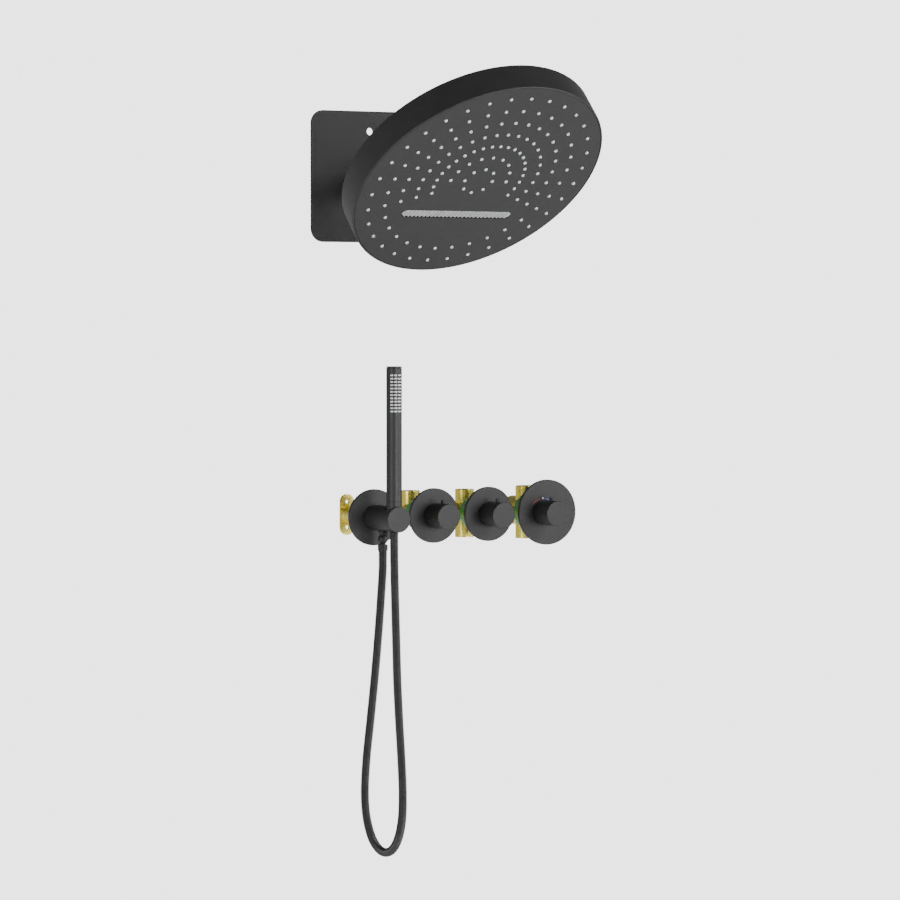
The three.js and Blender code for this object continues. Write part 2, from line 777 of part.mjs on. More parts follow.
function valveManifold() {
  const solids = [];
  const cuts = [];
  const linkLength = valveX[2] - valveX[0];
  const link = rod(manifoldLinkRadius, 0, linkLength, tubeSides).rotateZ(-Math.PI / 2);
  solids.push(link.translate(valveX[0], 0, -manifoldDepth));
  const linkBore = rod(manifoldBore - gap, overlap, linkLength - overlap, smallSides).rotateZ(-Math.PI / 2);
  cuts.push(linkBore.translate(valveX[0], 0, -manifoldDepth));
  for (const { x, housing, tube, up, down } of valves) {
    solids.push(peg(housing, housingBack, housingFront, tubeSides).translate(x, 0, 0));
    solids.push(rod(manifoldTubeRadius, Math.min(down, -overlap), up, tubeSides).translate(x, 0, -tube));
    const seat = peg(cartridgeRadius + gap, cartridgeBack - gap, housingFront + overlap, pipeSides);
    const boreLow = down < 0 ? down - overlap : 0;
    const bore = rod(manifoldBore, boreLow, up + overlap, smallSides);
    cuts.push(seat.translate(x, 0, 0), bore.translate(x, 0, -tube));
  }
  return piece('valve_manifold', cut(joined(...solids), ...cuts), 'brass');
}

/** What is fixed at one valve: guard, cartridge, its nut and the trim plate with its collar. */
function valveFixed({ name, x, plate, shift, guard, tube }) {
  const nut = cartridgeNutLength;
  const nutBack = housingFront + gap;
  const cartridge = spun([[0, cartridgeBack], [cartridgeRadius, cartridgeBack],
    [cartridgeRadius, cartridgeFront], [spindleRadius + gap, cartridgeFront],
    [spindleRadius + gap, cartridgeFront - spindleIntoCartridge],
    [0, cartridgeFront - spindleIntoCartridge]], pipeSides);
  const plateDisc = spun([[0, 0], [plate, 0], [plate, trimThickness - trimEdge],
    [plate - trimEdge, trimThickness], [0, trimThickness]], plateSides).translate(shift, 0, 0);
  const collar = peg(knobBaseRadius, trimThickness - overlap, knobStart - gap, knobSides);
  const hollow = peg(guard + trimRecessClear, -overlap, trimRecess, tubeSides);
  const trim = cut(joined(plateDisc, collar), peg(trimHoleRadius, -overlap, knobStart, pipeSides), hollow);
  const guardEnd = Math.max(guardBack, manifoldTubeRadius - tube) + gap;
  const guardTube = spun([[guard - guardWall, guardEnd], [guard, guardEnd], [guard, -gap],
    [guard - guardWall, -gap]], tubeSides);
  const nutRing = spun([[cartridgeNutHole, nutBack], [housingRadius, nutBack], [housingRadius, nutBack + nut],
    [cartridgeNutHole, nutBack + nut]], pipeSides);
  return placed(x, 0, 0,
    piece(`${name}_guard_sleeve`, guardTube, 'guard'),
    piece(`${name}_cartridge`, cartridge, 'plastic'),
    piece(`${name}_cartridge_nut`, nutRing, 'brass'),
    piece(`${name}_trim_plate`, trim, 'black'));
}

/** What turns at one valve: the spindle, the knob and the pin in the knob's top. */
function valveTurning({ name, x }) {
  const pinOut = knobFront - pinSetback;
  const spindleBack = cartridgeFront - spindleIntoCartridge + gap;
  const spindle = peg(spindleRadius, spindleBack, knobStart + spindleIntoKnob, smallSides);
  const pinHole = rod(pinRadius + gap, knobRadius - pinSeat - gap, knobRadius + overlap, smallSides);
  const knob = cut(
    spun([[0, knobStart], [knobRadius, knobStart], [knobRadius, knobFront - trimEdge],
      [knobRadius - trimEdge, knobFront], [0, knobFront]], knobSides),
    peg(spindleRadius + gap, knobStart - overlap, knobStart + spindleIntoKnob + gap, smallSides),
    pinHole.translate(0, 0, pinOut),
  );
  const pin = rod(pinRadius, knobRadius - pinSeat, knobRadius + pinStand, smallSides).translate(0, 0, pinOut);
  return placed(x, 0, 0,
    piece(`${name}_spindle`, spindle, 'brass'),
    piece(`${name}_knob`, knob, 'black'),
    piece(`${name}_pin`, pin, 'black'));
}

// ---------------------------------------------------------------- hand shower outlet and holder

function outletPlate() {
  const profile = [[nippleRadius + 2 * gap, 0], [outletPlateRadius, 0],
    [outletPlateRadius, trimThickness - trimEdge], [outletPlateRadius - trimEdge, trimThickness],
    [nippleRadius + 2 * gap, trimThickness]];
  return piece('outlet_trim_plate', spun(profile, plateSides), 'black');
}

function wallConnector() {
  const lug = roundedRectangle(lugWidth, lugHeight, lugWidth / 2 - hair);
  for (const side of [-1, 1]) {
    const height = side * (lugHeight / 2 - lugWidth / 2);
    lug.holes.push(new THREE.Path(polygonPoints(lugHole, smallSides, 0, height)));
  }
  const plate = slab(lug, lugBack, lugBack + lugThickness, 5);
  const barrel = peg(connectorRadius, lugBack + overlap, connectorFront, tubeSides);
  const bore = peg(nippleRadius + gap, nippleBack - gap, connectorFront + overlap, pipeSides);
  const supply = peg(nippleRadius - supplyStep, lugBack - overlap, nippleBack, pipeSides);
  return piece('wall_connector', cut(joined(plate, barrel), bore, supply), 'brass');
}

function outletNipple() {
  const profile = [[nippleBore, nippleBack], [nippleRadius, nippleBack], [nippleRadius, nippleFront],
    [nippleBore, nippleFront]];
  return piece('outlet_nipple', spun(profile, pipeSides), 'brass');
}

const linerRadius = wandRadius + gap + linerWall;
const linerFloor = coneNutEnd - gap;

function handHolder() {
  const start = trimThickness + gap;
  const body = spun([[0, start], [holderRadius, start], [holderRadius, holderFront - trimEdge],
    [holderRadius - trimEdge, holderFront], [0, holderFront]], knobSides);
  const seat = rod(linerRadius + gap, linerFloor - gap, holderRadius + overlap, tubeSides);
  const hosePass = rod(linerStep, -holderRadius - overlap, linerFloor, tubeSides).translate(0, 0, wandOut);
  const inletHole = peg(nippleRadius + gap, start - overlap, nippleFront + gap, pipeSides);
  const channel = peg(hoseOutletBore, nippleFront, hoseOut, smallSides);
  const drop = rod(hoseSpigotRadius + gap, -holderRadius - overlap, hoseSpigotTop + gap, pipeSides);
  const riser = rod(hoseOutletBore, hoseSpigotTop, 0, smallSides);
  return piece('hand_holder', cut(body, seat.translate(0, 0, wandOut), hosePass, inletHole, channel,
    drop.translate(0, 0, hoseOut), riser.translate(0, 0, hoseOut)), 'black');
}

function holderLiner() {
  const inner = wandRadius + gap;
  const coneTop = coneNutStraightEnd - 2 * gap;
  const profile = [[linerStep, linerFloor], [linerRadius, linerFloor], [linerRadius, linerTop],
    [inner, linerTop], [inner, coneTop], [linerStep, coneTop - (inner - linerStep) * 2]];
  return placed(0, 0, wandOut, piece('holder_liner', turned(profile, tubeSides), 'plastic'));
}

function hoseOutlet() {
  const profile = [[hoseOutletBore, hoseSpigotTop], [hoseSpigotRadius, hoseSpigotTop],
    [hoseSpigotRadius, -holderRadius - gap], [hoseNeckRadius, -holderRadius - gap]];
  for (const [radius, height] of latitudes(hoseBallRadius, hoseBallLatitude, -hoseBallLatitude, 6)) {
    profile.push([radius, hoseBallHeight + height]);
  }
  const threadEnd = hoseNutTop - hoseNutLength / 2;
  profile.push([hoseThreadRadius, hoseBallHeight - hoseThreadStart], [hoseThreadRadius, threadEnd]);
  profile.push([hoseOutletBore, threadEnd]);
  const body = turned(profile, pipeSides);
  const boss = peg(stopBossRadius, hoseNeckRadius - stopBossSeat, stopBossFront - hoseOut, smallSides);
  boss.translate(0, -holderRadius - 2 * gap - stopBossRadius, 0);
  return placed(0, 0, hoseOut, piece('hose_outlet', joined(body, boss), 'black'));
}

function hoseNut() {
  const low = hoseNutTop - hoseNutLength;
  const thread = hoseThreadRadius + gap;
  const profile = [[thread, low], [hoseNutRadius - hoseNutStep, low], [hoseNutRadius, low + 2 * trimEdge],
    [hoseNutRadius, hoseNutTop - trimEdge], [hoseNutRadius - trimEdge, hoseNutTop], [thread, hoseNutTop]];
  return placed(0, 0, hoseOut, piece('hose_nut', turned(profile, pipeSides), 'black'));
}

// ---------------------------------------------------------------- hand shower

const wandAxis = [outletX, 0, wandOut];

function wandTube() {
  const inner = wandRadius - wandWall;
  let tube = solidOf(ring(wandRadius, inner, wandBottom, wandTop - wandCapHeight - gap, wandSides));
  const [width, height] = [sprayWidth + 2 * gap, sprayHeight + 2 * gap];
  for (const slot of sprayPegs(width, height, inner - overlap, wandRadius + overlap)) {
    tube = tube.subtract(solidOf(slot));
  }
  return piece('wand_tube', geometryOf(tube), 'black');
}

/** One box for each spray opening, turned to its place round the wand. */
function sprayPegs(width, height, inner, outer) {
  const pegs = [];
  for (let row = 0; row < sprayRows; row += 1) {
    for (let column = 0; column < sprayColumns; column += 1) {
      const box = new THREE.BoxGeometry(width, height, outer - inner).translate(0, 0, (inner + outer) / 2);
      box.rotateY((column - (sprayColumns - 1) / 2) * sprayColumnAngle);
      pegs.push(box.translate(0, wandTop - sprayFirst - row * sprayPitch, 0));
    }
  }
  return pegs;
}

function sprayLiner() {
  const outer = wandRadius - wandWall - gap;
  const inner = outer - sprayLinerWall;
  const margin = sprayPitch;
  const low = wandTop - sprayFirst - (sprayRows - 1) * sprayPitch - margin;
  const outline = [];
  for (const [radius, turn] of [[outer, 1], [inner, -1]]) {
    for (let i = 0; i <= sprayColumns; i += 1) {
      const angle = Math.PI / 2 + turn * (i - sprayColumns / 2) * sprayColumnAngle;
      outline.push(new THREE.Vector2(radius * Math.cos(angle), radius * Math.sin(angle)));
    }
  }
  let liner = solidOf(layer(new THREE.Shape(outline), low, wandTop - sprayFirst + margin));
  for (const box of sprayPegs(sprayWidth, sprayHeight, inner + sprayLinerWall / 3, wandRadius + sprayProud)) {
    liner = liner.add(solidOf(box));
  }
  return piece('wand_spray_liner', geometryOf(liner), 'silicone');
}

function wandCap() {
  const plug = wandRadius - wandWall - gap;
  const low = wandTop - wandCapHeight;
  const profile = [[0, low - wandCapPlug], [plug, low - wandCapPlug], [plug, low], [wandRadius, low],
    [wandRadius, wandTop - trimEdge], [wandRadius - trimEdge, wandTop], [0, wandTop]];
  return piece('wand_cap', turned(profile, wandSides), 'black');
}

const wandInletLow = wandBottom - wandInletDrop;

function wandInlet() {
  const flange = wandRadius - wandWall - gap;
  const profile = [[wandInletBore, wandInletLow], [wandInletThread, wandInletLow],
    [wandInletThread, wandBottom], [flange, wandBottom], [flange, wandBottom + wandInletRise],
    [wandInletBore, wandBottom + wandInletRise]];
  return piece('wand_inlet', turned(profile, wandSides), 'brass');
}

function checkValve() {
  const low = wandBottom + overlap;
  const radius = wandInletBore - gap;
  return piece('wand_check_valve', rod(radius, low, low + checkValveLength, smallSides), 'plastic');
}

function wandWasher() {
  const top = wandInletLow - gap;
  const washer = ring(wandInletThread, wandInletBore, top - washerThickness, top, pipeSides);
  return piece('wand_washer', washer, 'rubber');
}

const hoseFlangeTop = wandInletLow - gap - washerThickness - gap;
const hoseFlangeLow = hoseFlangeTop - hoseFlangeThickness;
const hoseFerruleLow = hoseFlangeLow - hoseFerruleLength;
const coneShoulder = hoseFlangeLow - gap - rowHeight;

/** The flanged end of the hose, which the cone nut holds against the washer and turns round. */
function hoseEndFitting() {
  const profile = [[hoseEndBore, hoseFerruleLow], [hoseRadius, hoseFerruleLow], [hoseRadius, hoseFlangeLow],
    [wandInletThread, hoseFlangeLow], [wandInletThread, hoseFlangeTop], [hoseEndBore, hoseFlangeTop]];
  return piece('hose_end_fitting', turned(profile, pipeSides), 'brass');
}

function coneNut() {
  const thread = wandInletThread + gap;
  const bore = hoseRadius + hoseClear;
  const top = wandBottom - gap - rowHeight;
  const profile = [[bore, coneNutEnd], [coneNutTipRadius, coneNutEnd], [wandRadius, coneNutStraightEnd],
    [wandRadius, top - trimEdge], [wandRadius - trimEdge, top], [thread, top], [thread, coneShoulder],
    [bore, coneShoulder]];
  return piece('wand_cone_nut', turned(profile, tubeSides), 'black');
}

// The hose hangs from the outlet in one loop and comes up under the holder into the cone nut. Its heights
// are from the row's centre line.
const hoseTop = hoseNutTop - hoseNutLength - gap;
const hoseEnd = hoseFerruleLow - gap - rowHeight;
const hosePoints = [
  [outletX, hoseTop, hoseOut],
  [outletX, -70, 29.4],
  [4.3, -115, 27.2],
  [1.6, -173, 23.2],
  [-1.4, -230, 18.4],
  [-5.2, -287, 13.4],
  [-9.6, -341, 9.8],
  [-12.2, -390, 9.4],
  [-12.9, -424, 15.6],
  [-13.6, -450, 32.0],
  [-14.2, -464, 54.0],
  [-15.0, -467, 77.0],
  [-16.2, -460, 100.0],
  [-17.4, -443, 119.6],
  [-18.2, -416, 132.6],
  [-18.8, -380, 136.6],
  [-18.4, -330, 131.8],
  [-15.4, -276, 119.4],
  [-9.4, -223, 102.6],
  [-2.0, -169, 85.4],
  [3.8, -115, 71.4],
  [outletX, -66, 64.6],
  [outletX, -33, wandOut],
  [outletX, hoseEnd, wandOut],
].map(([x, height, out]) => new THREE.Vector3(x, rowHeight + height, out));

function hose() {
  const curve = new THREE.CatmullRomCurve3(hosePoints, false, 'centripetal');
  return piece('shower_hose', piped(curve.getSpacedPoints(hoseSteps), hoseRadius, 0, smallSides), 'black');
}

// ---------------------------------------------------------------- the whole set, turned so that +Z is up

const set = new THREE.Group();
set.rotation.x = Math.PI / 2;
set.add(wallPlate(), inlet('rain_inlet', -inletSpread), inlet('waterfall_inlet', inletSpread));
set.add(armBase(), arm());
set.add(supplyPipe('rain_supply_pipe', -supplySpread), supplyPipe('waterfall_supply_pipe', supplySpread));
set.add(placed(...ballCentre.toArray(), head(), ballAndNut()));

const row = placed(0, rowHeight, 0, valveManifold());
for (const valve of valves) row.add(valveFixed(valve), valveTurning(valve));
row.add(placed(outletX, 0, 0, outletPlate(), wallConnector(), outletNipple(), handHolder(), holderLiner(),
  hoseOutlet(), hoseNut()));
row.add(placed(...wandAxis, coneNut()));
set.add(row, hose());
set.add(placed(...wandAxis, wandTube(), sprayLiner(), wandCap(), wandInlet(), checkValve(), wandWasher(),
  hoseEndFitting()));

export default set;
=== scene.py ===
"""Looks of a wall-mounted rain and waterfall shower set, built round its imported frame.

Sizes are in millimetres in the wall frame: X to the right, Y up and Z out of the wall, with the origin at the
centre of the back of the head's wall plate. WALL brings a mesh drawn there into the scene, in metres.
"""

from __future__ import annotations

import json
import logging
import math
from dataclasses import dataclass
from enum import Enum
from typing import Iterable, Sequence

import bmesh
import bpy
from mathutils import Matrix, Vector

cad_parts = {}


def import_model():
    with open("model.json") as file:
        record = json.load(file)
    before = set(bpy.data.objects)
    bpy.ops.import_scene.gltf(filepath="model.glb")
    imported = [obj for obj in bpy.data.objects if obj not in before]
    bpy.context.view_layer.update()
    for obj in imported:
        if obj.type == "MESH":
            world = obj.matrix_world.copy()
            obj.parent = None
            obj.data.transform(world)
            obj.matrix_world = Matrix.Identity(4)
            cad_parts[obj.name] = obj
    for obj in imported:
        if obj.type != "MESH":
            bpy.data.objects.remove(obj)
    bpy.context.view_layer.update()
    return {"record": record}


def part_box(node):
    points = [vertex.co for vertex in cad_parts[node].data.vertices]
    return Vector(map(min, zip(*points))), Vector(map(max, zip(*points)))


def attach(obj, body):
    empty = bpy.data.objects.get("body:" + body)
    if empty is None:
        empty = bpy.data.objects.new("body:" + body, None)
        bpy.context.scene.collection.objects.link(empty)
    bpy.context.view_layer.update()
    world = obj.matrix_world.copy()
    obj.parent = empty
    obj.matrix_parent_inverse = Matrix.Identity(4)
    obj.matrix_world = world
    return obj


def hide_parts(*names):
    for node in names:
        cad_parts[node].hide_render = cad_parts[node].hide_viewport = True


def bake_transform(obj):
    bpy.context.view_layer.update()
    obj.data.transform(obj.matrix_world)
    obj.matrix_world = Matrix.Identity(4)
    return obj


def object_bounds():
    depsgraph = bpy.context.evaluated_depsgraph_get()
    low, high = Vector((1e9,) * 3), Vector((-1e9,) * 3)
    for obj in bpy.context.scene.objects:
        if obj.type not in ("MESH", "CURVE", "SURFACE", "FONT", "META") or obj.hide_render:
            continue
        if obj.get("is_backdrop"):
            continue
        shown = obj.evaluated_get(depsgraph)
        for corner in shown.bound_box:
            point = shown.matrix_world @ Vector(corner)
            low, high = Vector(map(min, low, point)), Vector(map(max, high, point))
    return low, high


LOG = logging.getLogger("shower_set")
MM = 0.001
GAP = 0.3  # clearance between pieces that touch
WALL = Matrix.Rotation(math.radians(90.0), 4, "X") @ Matrix.Scale(MM, 4)
ROUND = 192  # sides of the head's drum
FINE = 128  # sides of a large round piece
MEDIUM = 72  # sides of a hand-sized round piece
SMALL = 32  # sides of a finger-sized round piece
SMOOTH_ANGLE = math.radians(32.0)
WELD = 1e-4  # distance within which points are one
INLET_BORE = 5.5  # inner radius of the threaded inlets

Point = tuple[float, ...]
Colour = tuple[float, float, float]


class Axis(Enum):
    """Which way the axis of a turned piece points in the wall frame."""

    OUT = "out of the wall"
    UP = "up"
    RIGHT = "to the right"

    def turn(self) -> Matrix:
        """Returns the turn that brings a lathe's Z axis to this direction."""
        if self is Axis.UP:
            return Matrix.Rotation(math.radians(-90.0), 4, "X")
        if self is Axis.RIGHT:
            return Matrix.Rotation(math.radians(90.0), 4, "Y")
        return Matrix.Identity(4)


class Cut(Enum):
    """How one stock works on another."""

    AWAY = "DIFFERENCE"
    JOIN = "UNION"


def shift(x: float = 0.0, y: float = 0.0, z: float = 0.0) -> Matrix:
    """Returns the move to x, y and z, in millimetres of the wall frame."""
    return Matrix.Translation((x, y, z))


# ---------------------------------------------------------------- finishes


class Nodes:
    """A material's node tree, with short ways to add and join its nodes."""

    def __init__(self, name: str) -> None:
        """Makes the material.

        Args:
            name: The material's name.
        """
        self.material = bpy.data.materials.new(name)
        self.material.use_nodes = True
        self.tree = self.material.node_tree
        self.shader = self.tree.nodes["Principled BSDF"]
        self.place = self.tree.nodes.new("ShaderNodeTexCoord").outputs["Object"]

    def add(self, kind: str, **settings: object) -> bpy.types.Node:
        """Adds a node.

        Args:
            kind: The node's type.
            settings: Properties to set on it.

        Returns:
            The node.
        """
        node = self.tree.nodes.new(kind)
        for key, value in settings.items():
            setattr(node, key, value)
        return node

    def join(self, source: bpy.types.NodeSocket, target: bpy.types.NodeSocket) -> None:
        """Links one socket to another."""
        self.tree.links.new(source, target)

    def noise(self, scale: float, detail: float = 4.0,
              stretch: Point = (1.0, 1.0, 1.0)) -> bpy.types.NodeSocket:
        """Adds a noise pattern on the piece's own coordinates.

        Args:
            scale: Cells in each metre.
            detail: Octaves of the pattern.
            stretch: Scale along each axis.

        Returns:
            The pattern's value, from 0 to 1.
        """
        mapping = self.add("ShaderNodeMapping")
        mapping.inputs["Scale"].default_value = stretch
        self.join(self.place, mapping.inputs["Vector"])
        texture = self.add("ShaderNodeTexNoise")
        texture.inputs["Scale"].default_value = scale
        texture.inputs["Detail"].default_value = detail
        self.join(mapping.outputs["Vector"], texture.inputs["Vector"])
        return texture.outputs["Fac"]

    def spread(self, value: bpy.types.NodeSocket, low: float, high: float) -> bpy.types.NodeSocket:
        """Maps the middle of a noise's range to low and high.

        Args:
            value: The noise.
            low: Result where the noise is low.
            high: Result where the noise is high.

        Returns:
            The mapped value.
        """
        node = self.add("ShaderNodeMapRange")
        node.inputs["From Min"].default_value = 0.3
        node.inputs["From Max"].default_value = 0.7
        node.inputs["To Min"].default_value = low
        node.inputs["To Max"].default_value = high
        self.join(value, node.inputs["Value"])
        return node.outputs["Result"]

    def mix(self, share: bpy.types.NodeSocket, first: object, second: object) -> bpy.types.NodeSocket:
        """Mixes two colours by a share.

        Args:
            share: The second colour's share.
            first: A colour, or the socket of one.
            second: A colour, or the socket of one.

        Returns:
            The mixed colour.
        """
        node = self.add("ShaderNodeMix", data_type="RGBA")
        self.join(share, node.inputs["Factor"])
        for name, value in (("A", first), ("B", second)):
            socket = [s for s in node.inputs if s.name == name and s.type == "RGBA"][0]
            if isinstance(value, bpy.types.NodeSocket):
                self.join(value, socket)
            else:
                socket.default_value = (*value, 1.0)
        return [s for s in node.outputs if s.type == "RGBA"][0]

    def bump(self, height: bpy.types.NodeSocket, strength: float, distance: float) -> None:
        """Adds a bump from a height pattern to the shader.

        Args:
            height: The pattern.
            strength: Share of the bump used.
            distance: Depth of the pattern in metres.
        """
        node = self.add("ShaderNodeBump")
        node.inputs["Strength"].default_value = strength
        node.inputs["Distance"].default_value = distance
        self.join(height, node.inputs["Height"])
        self.join(node.outputs["Normal"], self.shader.inputs["Normal"])

    def math(self, operation: str, first: object, second: object, third: float = 0.0) -> bpy.types.NodeSocket:
        """Adds a sum of two or three values.

        Args:
            operation: The Math node's operation.
            first: A number or a socket.
            second: A number or a socket.
            third: The third number, where the operation has one.

        Returns:
            The result.
        """
        node = self.add("ShaderNodeMath", operation=operation)
        for index, value in enumerate((first, second, third)):
            if isinstance(value, bpy.types.NodeSocket):
                self.join(value, node.inputs[index])
            else:
                node.inputs[index].default_value = value
        return node.outputs["Value"]


@dataclass(frozen=True)
class Finish:
    """A surface finish. Each kind paints a node tree in its own way."""

    name: str
    slot: str

    def material(self) -> bpy.types.Material:
        """Returns the finish's material, made on first use."""
        known = bpy.data.materials.get(self.name)
        if known:
            return known
        nodes = Nodes(self.name)
        self.paint(nodes)
        return nodes.material

    def paint(self, nodes: Nodes) -> None:
        """Fills the node tree.

        Args:
            nodes: The tree.
        """
        raise NotImplementedError


@dataclass(frozen=True)
class MatteCoat(Finish):
    """Powder coat: fine orange peel, slight mottling and a soft sheen."""

    dark: Colour = (0.0205, 0.0205, 0.021)
    light: Colour = (0.0235, 0.0235, 0.024)
    roughness: tuple[float, float] = (0.40, 0.46)
    peel_scale: float = 1500.0
    peel_depth: float = 0.00003

    def colour(self, nodes: Nodes) -> bpy.types.NodeSocket:
        """Returns the coat's mottled colour."""
        return nodes.mix(nodes.spread(nodes.noise(34.0, 6.0), 0.0, 1.0), self.dark, self.light)

    def paint(self, nodes: Nodes) -> None:
        """Paints mottling, roughness and orange peel.

        Args:
            nodes: The tree.
        """
        nodes.join(self.colour(nodes), nodes.shader.inputs["Base Color"])
        rough = nodes.spread(nodes.noise(120.0), *self.roughness)
        nodes.join(rough, nodes.shader.inputs["Roughness"])
        nodes.shader.inputs["Specular IOR Level"].default_value = 0.4
        nodes.bump(nodes.noise(self.peel_scale, 3.0), 0.35, self.peel_depth)


@dataclass(frozen=True)
class ScaleCoat(MatteCoat):
    """The powder coat with a printed hot and cold scale round a centre."""

    centre: Point = (0.0, 0.0)
    ring: float = 0.0205
    line: float = 0.0007
    dot: float = 0.0013
    hot: tuple[float, float] = (105.0, 141.0)
    cold: tuple[float, float] = (48.0, 78.0)
    red: Colour = (0.30, 0.035, 0.03)
    blue: Colour = (0.05, 0.07, 0.32)
    white: Colour = (0.62, 0.62, 0.62)

    def colour(self, nodes: Nodes) -> bpy.types.NodeSocket:
        """Prints two arcs and a dot on the coat's colour.

        Args:
            nodes: The tree.

        Returns:
            The colour.
        """
        split = nodes.add("ShaderNodeSeparateXYZ")
        nodes.join(nodes.place, split.inputs["Vector"])
        x = nodes.math("SUBTRACT", split.outputs["X"], self.centre[0])
        z = nodes.math("SUBTRACT", split.outputs["Z"], self.centre[1])
        square = nodes.math("ADD", nodes.math("MULTIPLY", x, x), nodes.math("MULTIPLY", z, z))
        radius = nodes.math("SQRT", square, 0.0)
        angle = nodes.math("ARCTAN2", z, x)
        on_ring = nodes.math("COMPARE", radius, self.ring, self.line)
        result = super().colour(nodes)
        for (low, high), ink in ((self.hot, self.red), (self.cold, self.blue)):
            middle = math.radians((low + high) / 2)
            within = nodes.math("COMPARE", angle, middle, math.radians((high - low) / 2))
            result = nodes.mix(nodes.math("MULTIPLY", on_ring, within), result, ink)
        from_dot = nodes.math("ABSOLUTE", nodes.math("SUBTRACT", z, self.ring), 0.0)
        near = nodes.math("ADD", nodes.math("MULTIPLY", x, x), nodes.math("MULTIPLY", from_dot, from_dot))
        on_dot = nodes.math("LESS_THAN", near, self.dot**2)
        return nodes.mix(on_dot, result, self.white)


@dataclass(frozen=True)
class Brass(Finish):
    """Machined brass: fine tool lines, and patches that are a little duller."""

    bright: Colour = (1.0, 0.86, 0.19)
    dull: Colour = (1.0, 0.80, 0.14)
    lines: Point = (1.0, 1.0, 14.0)

    def paint(self, nodes: Nodes) -> None:
        """Paints the metal, its patches and its tool lines.

        Args:
            nodes: The tree.
        """
        patches = nodes.spread(nodes.noise(60.0, 5.0), 0.0, 1.0)
        nodes.join(nodes.mix(patches, self.bright, self.dull), nodes.shader.inputs["Base Color"])
        nodes.shader.inputs["Metallic"].default_value = 1.0
        nodes.join(nodes.spread(nodes.noise(210.0), 0.24, 0.34), nodes.shader.inputs["Roughness"])
        nodes.bump(nodes.noise(260.0, 3.0, self.lines), 0.12, 0.00001)


@dataclass(frozen=True)
class Metal(Finish):
    """Plain polished steel with fine scratches."""

    bright: Colour = (0.62, 0.63, 0.65)
    dull: Colour = (0.5, 0.51, 0.53)

    def paint(self, nodes: Nodes) -> None:
        """Paints the metal and its scratches.

        Args:
            nodes: The tree.
        """
        patches = nodes.spread(nodes.noise(90.0), 0.0, 1.0)
        nodes.join(nodes.mix(patches, self.bright, self.dull), nodes.shader.inputs["Base Color"])
        nodes.shader.inputs["Metallic"].default_value = 1.0
        nodes.join(nodes.spread(nodes.noise(400.0), 0.12, 0.28), nodes.shader.inputs["Roughness"])
        nodes.bump(nodes.noise(900.0, 3.0, (1.0, 6.0, 1.0)), 0.15, 0.00002)


@dataclass(frozen=True)
class Moulded(Finish):
    """Moulded plastic, rubber or silicone: two close colours, a soft gloss, a fine grain and, where an edge
    colour is given, a painted sheen.
    """

    dark: Colour = (0.1, 0.1, 0.1)
    light: Colour = (0.12, 0.12, 0.12)
    roughness: tuple[float, float] = (0.4, 0.5)
    # edge: colour of a painted sheen, mixed in where the surface turns away from view
    edge: Colour | None = None
    softness: float = 0.0
    grain: float = 900.0

    def paint(self, nodes: Nodes) -> None:
        """Paints the colour, a painted sheen that lightens it towards the edges turned from view where an
        edge colour is given, the gloss and the grain.

        Args:
            nodes: The tree.
        """
        colour = nodes.mix(nodes.spread(nodes.noise(80.0), 0.0, 1.0), self.dark, self.light)
        if self.edge:
            # painted sheen: the base colour grows lighter towards the edges that turn away from view
            facing = nodes.add("ShaderNodeLayerWeight")
            facing.inputs["Blend"].default_value = 0.12
            colour = nodes.mix(facing.outputs["Facing"], colour, self.edge)
        nodes.join(colour, nodes.shader.inputs["Base Color"])
        nodes.join(nodes.spread(nodes.noise(260.0), *self.roughness), nodes.shader.inputs["Roughness"])
        if self.softness:
            nodes.shader.inputs["Subsurface Weight"].default_value = self.softness
            nodes.shader.inputs["Subsurface Scale"].default_value = 0.002
        nodes.bump(nodes.noise(self.grain, 3.0), 0.3, 0.00003)


COAT = MatteCoat("charcoal_coat", "matte_black")
BRASS = Brass("machined_brass", "brass")
STEEL = Metal("polished_steel", "steel")
# the guard's lighter teal edge colour is a painted sheen
GUARD = Moulded("green_guard", "green_plastic", (0.055, 0.33, 0.03), (0.07, 0.38, 0.04), (0.22, 0.34),
                edge=(0.24, 0.50, 0.34))
SILICONE = Moulded("grey_silicone_skin", "grey_silicone", (0.68, 0.685, 0.70), (0.74, 0.745, 0.76),
                   (0.38, 0.5), softness=0.15)
LIP = Moulded("grey_silicone_lip", "grey_silicone", (0.36, 0.365, 0.375), (0.42, 0.425, 0.435),
              (0.4, 0.5), softness=0.1)
RUBBER = Moulded("sealing_rubber", "black_rubber", (0.012, 0.012, 0.013), (0.02, 0.02, 0.021), (0.6, 0.75))
PLASTIC = Moulded("grey_moulding", "grey_plastic", (0.035, 0.035, 0.037), (0.045, 0.045, 0.047),
                  (0.45, 0.6))
SHEATH = Moulded("hose_sheath", "hose_black", (0.022, 0.022, 0.023), (0.034, 0.034, 0.035), (0.28, 0.4))


# ---------------------------------------------------------------- stock: meshes being worked


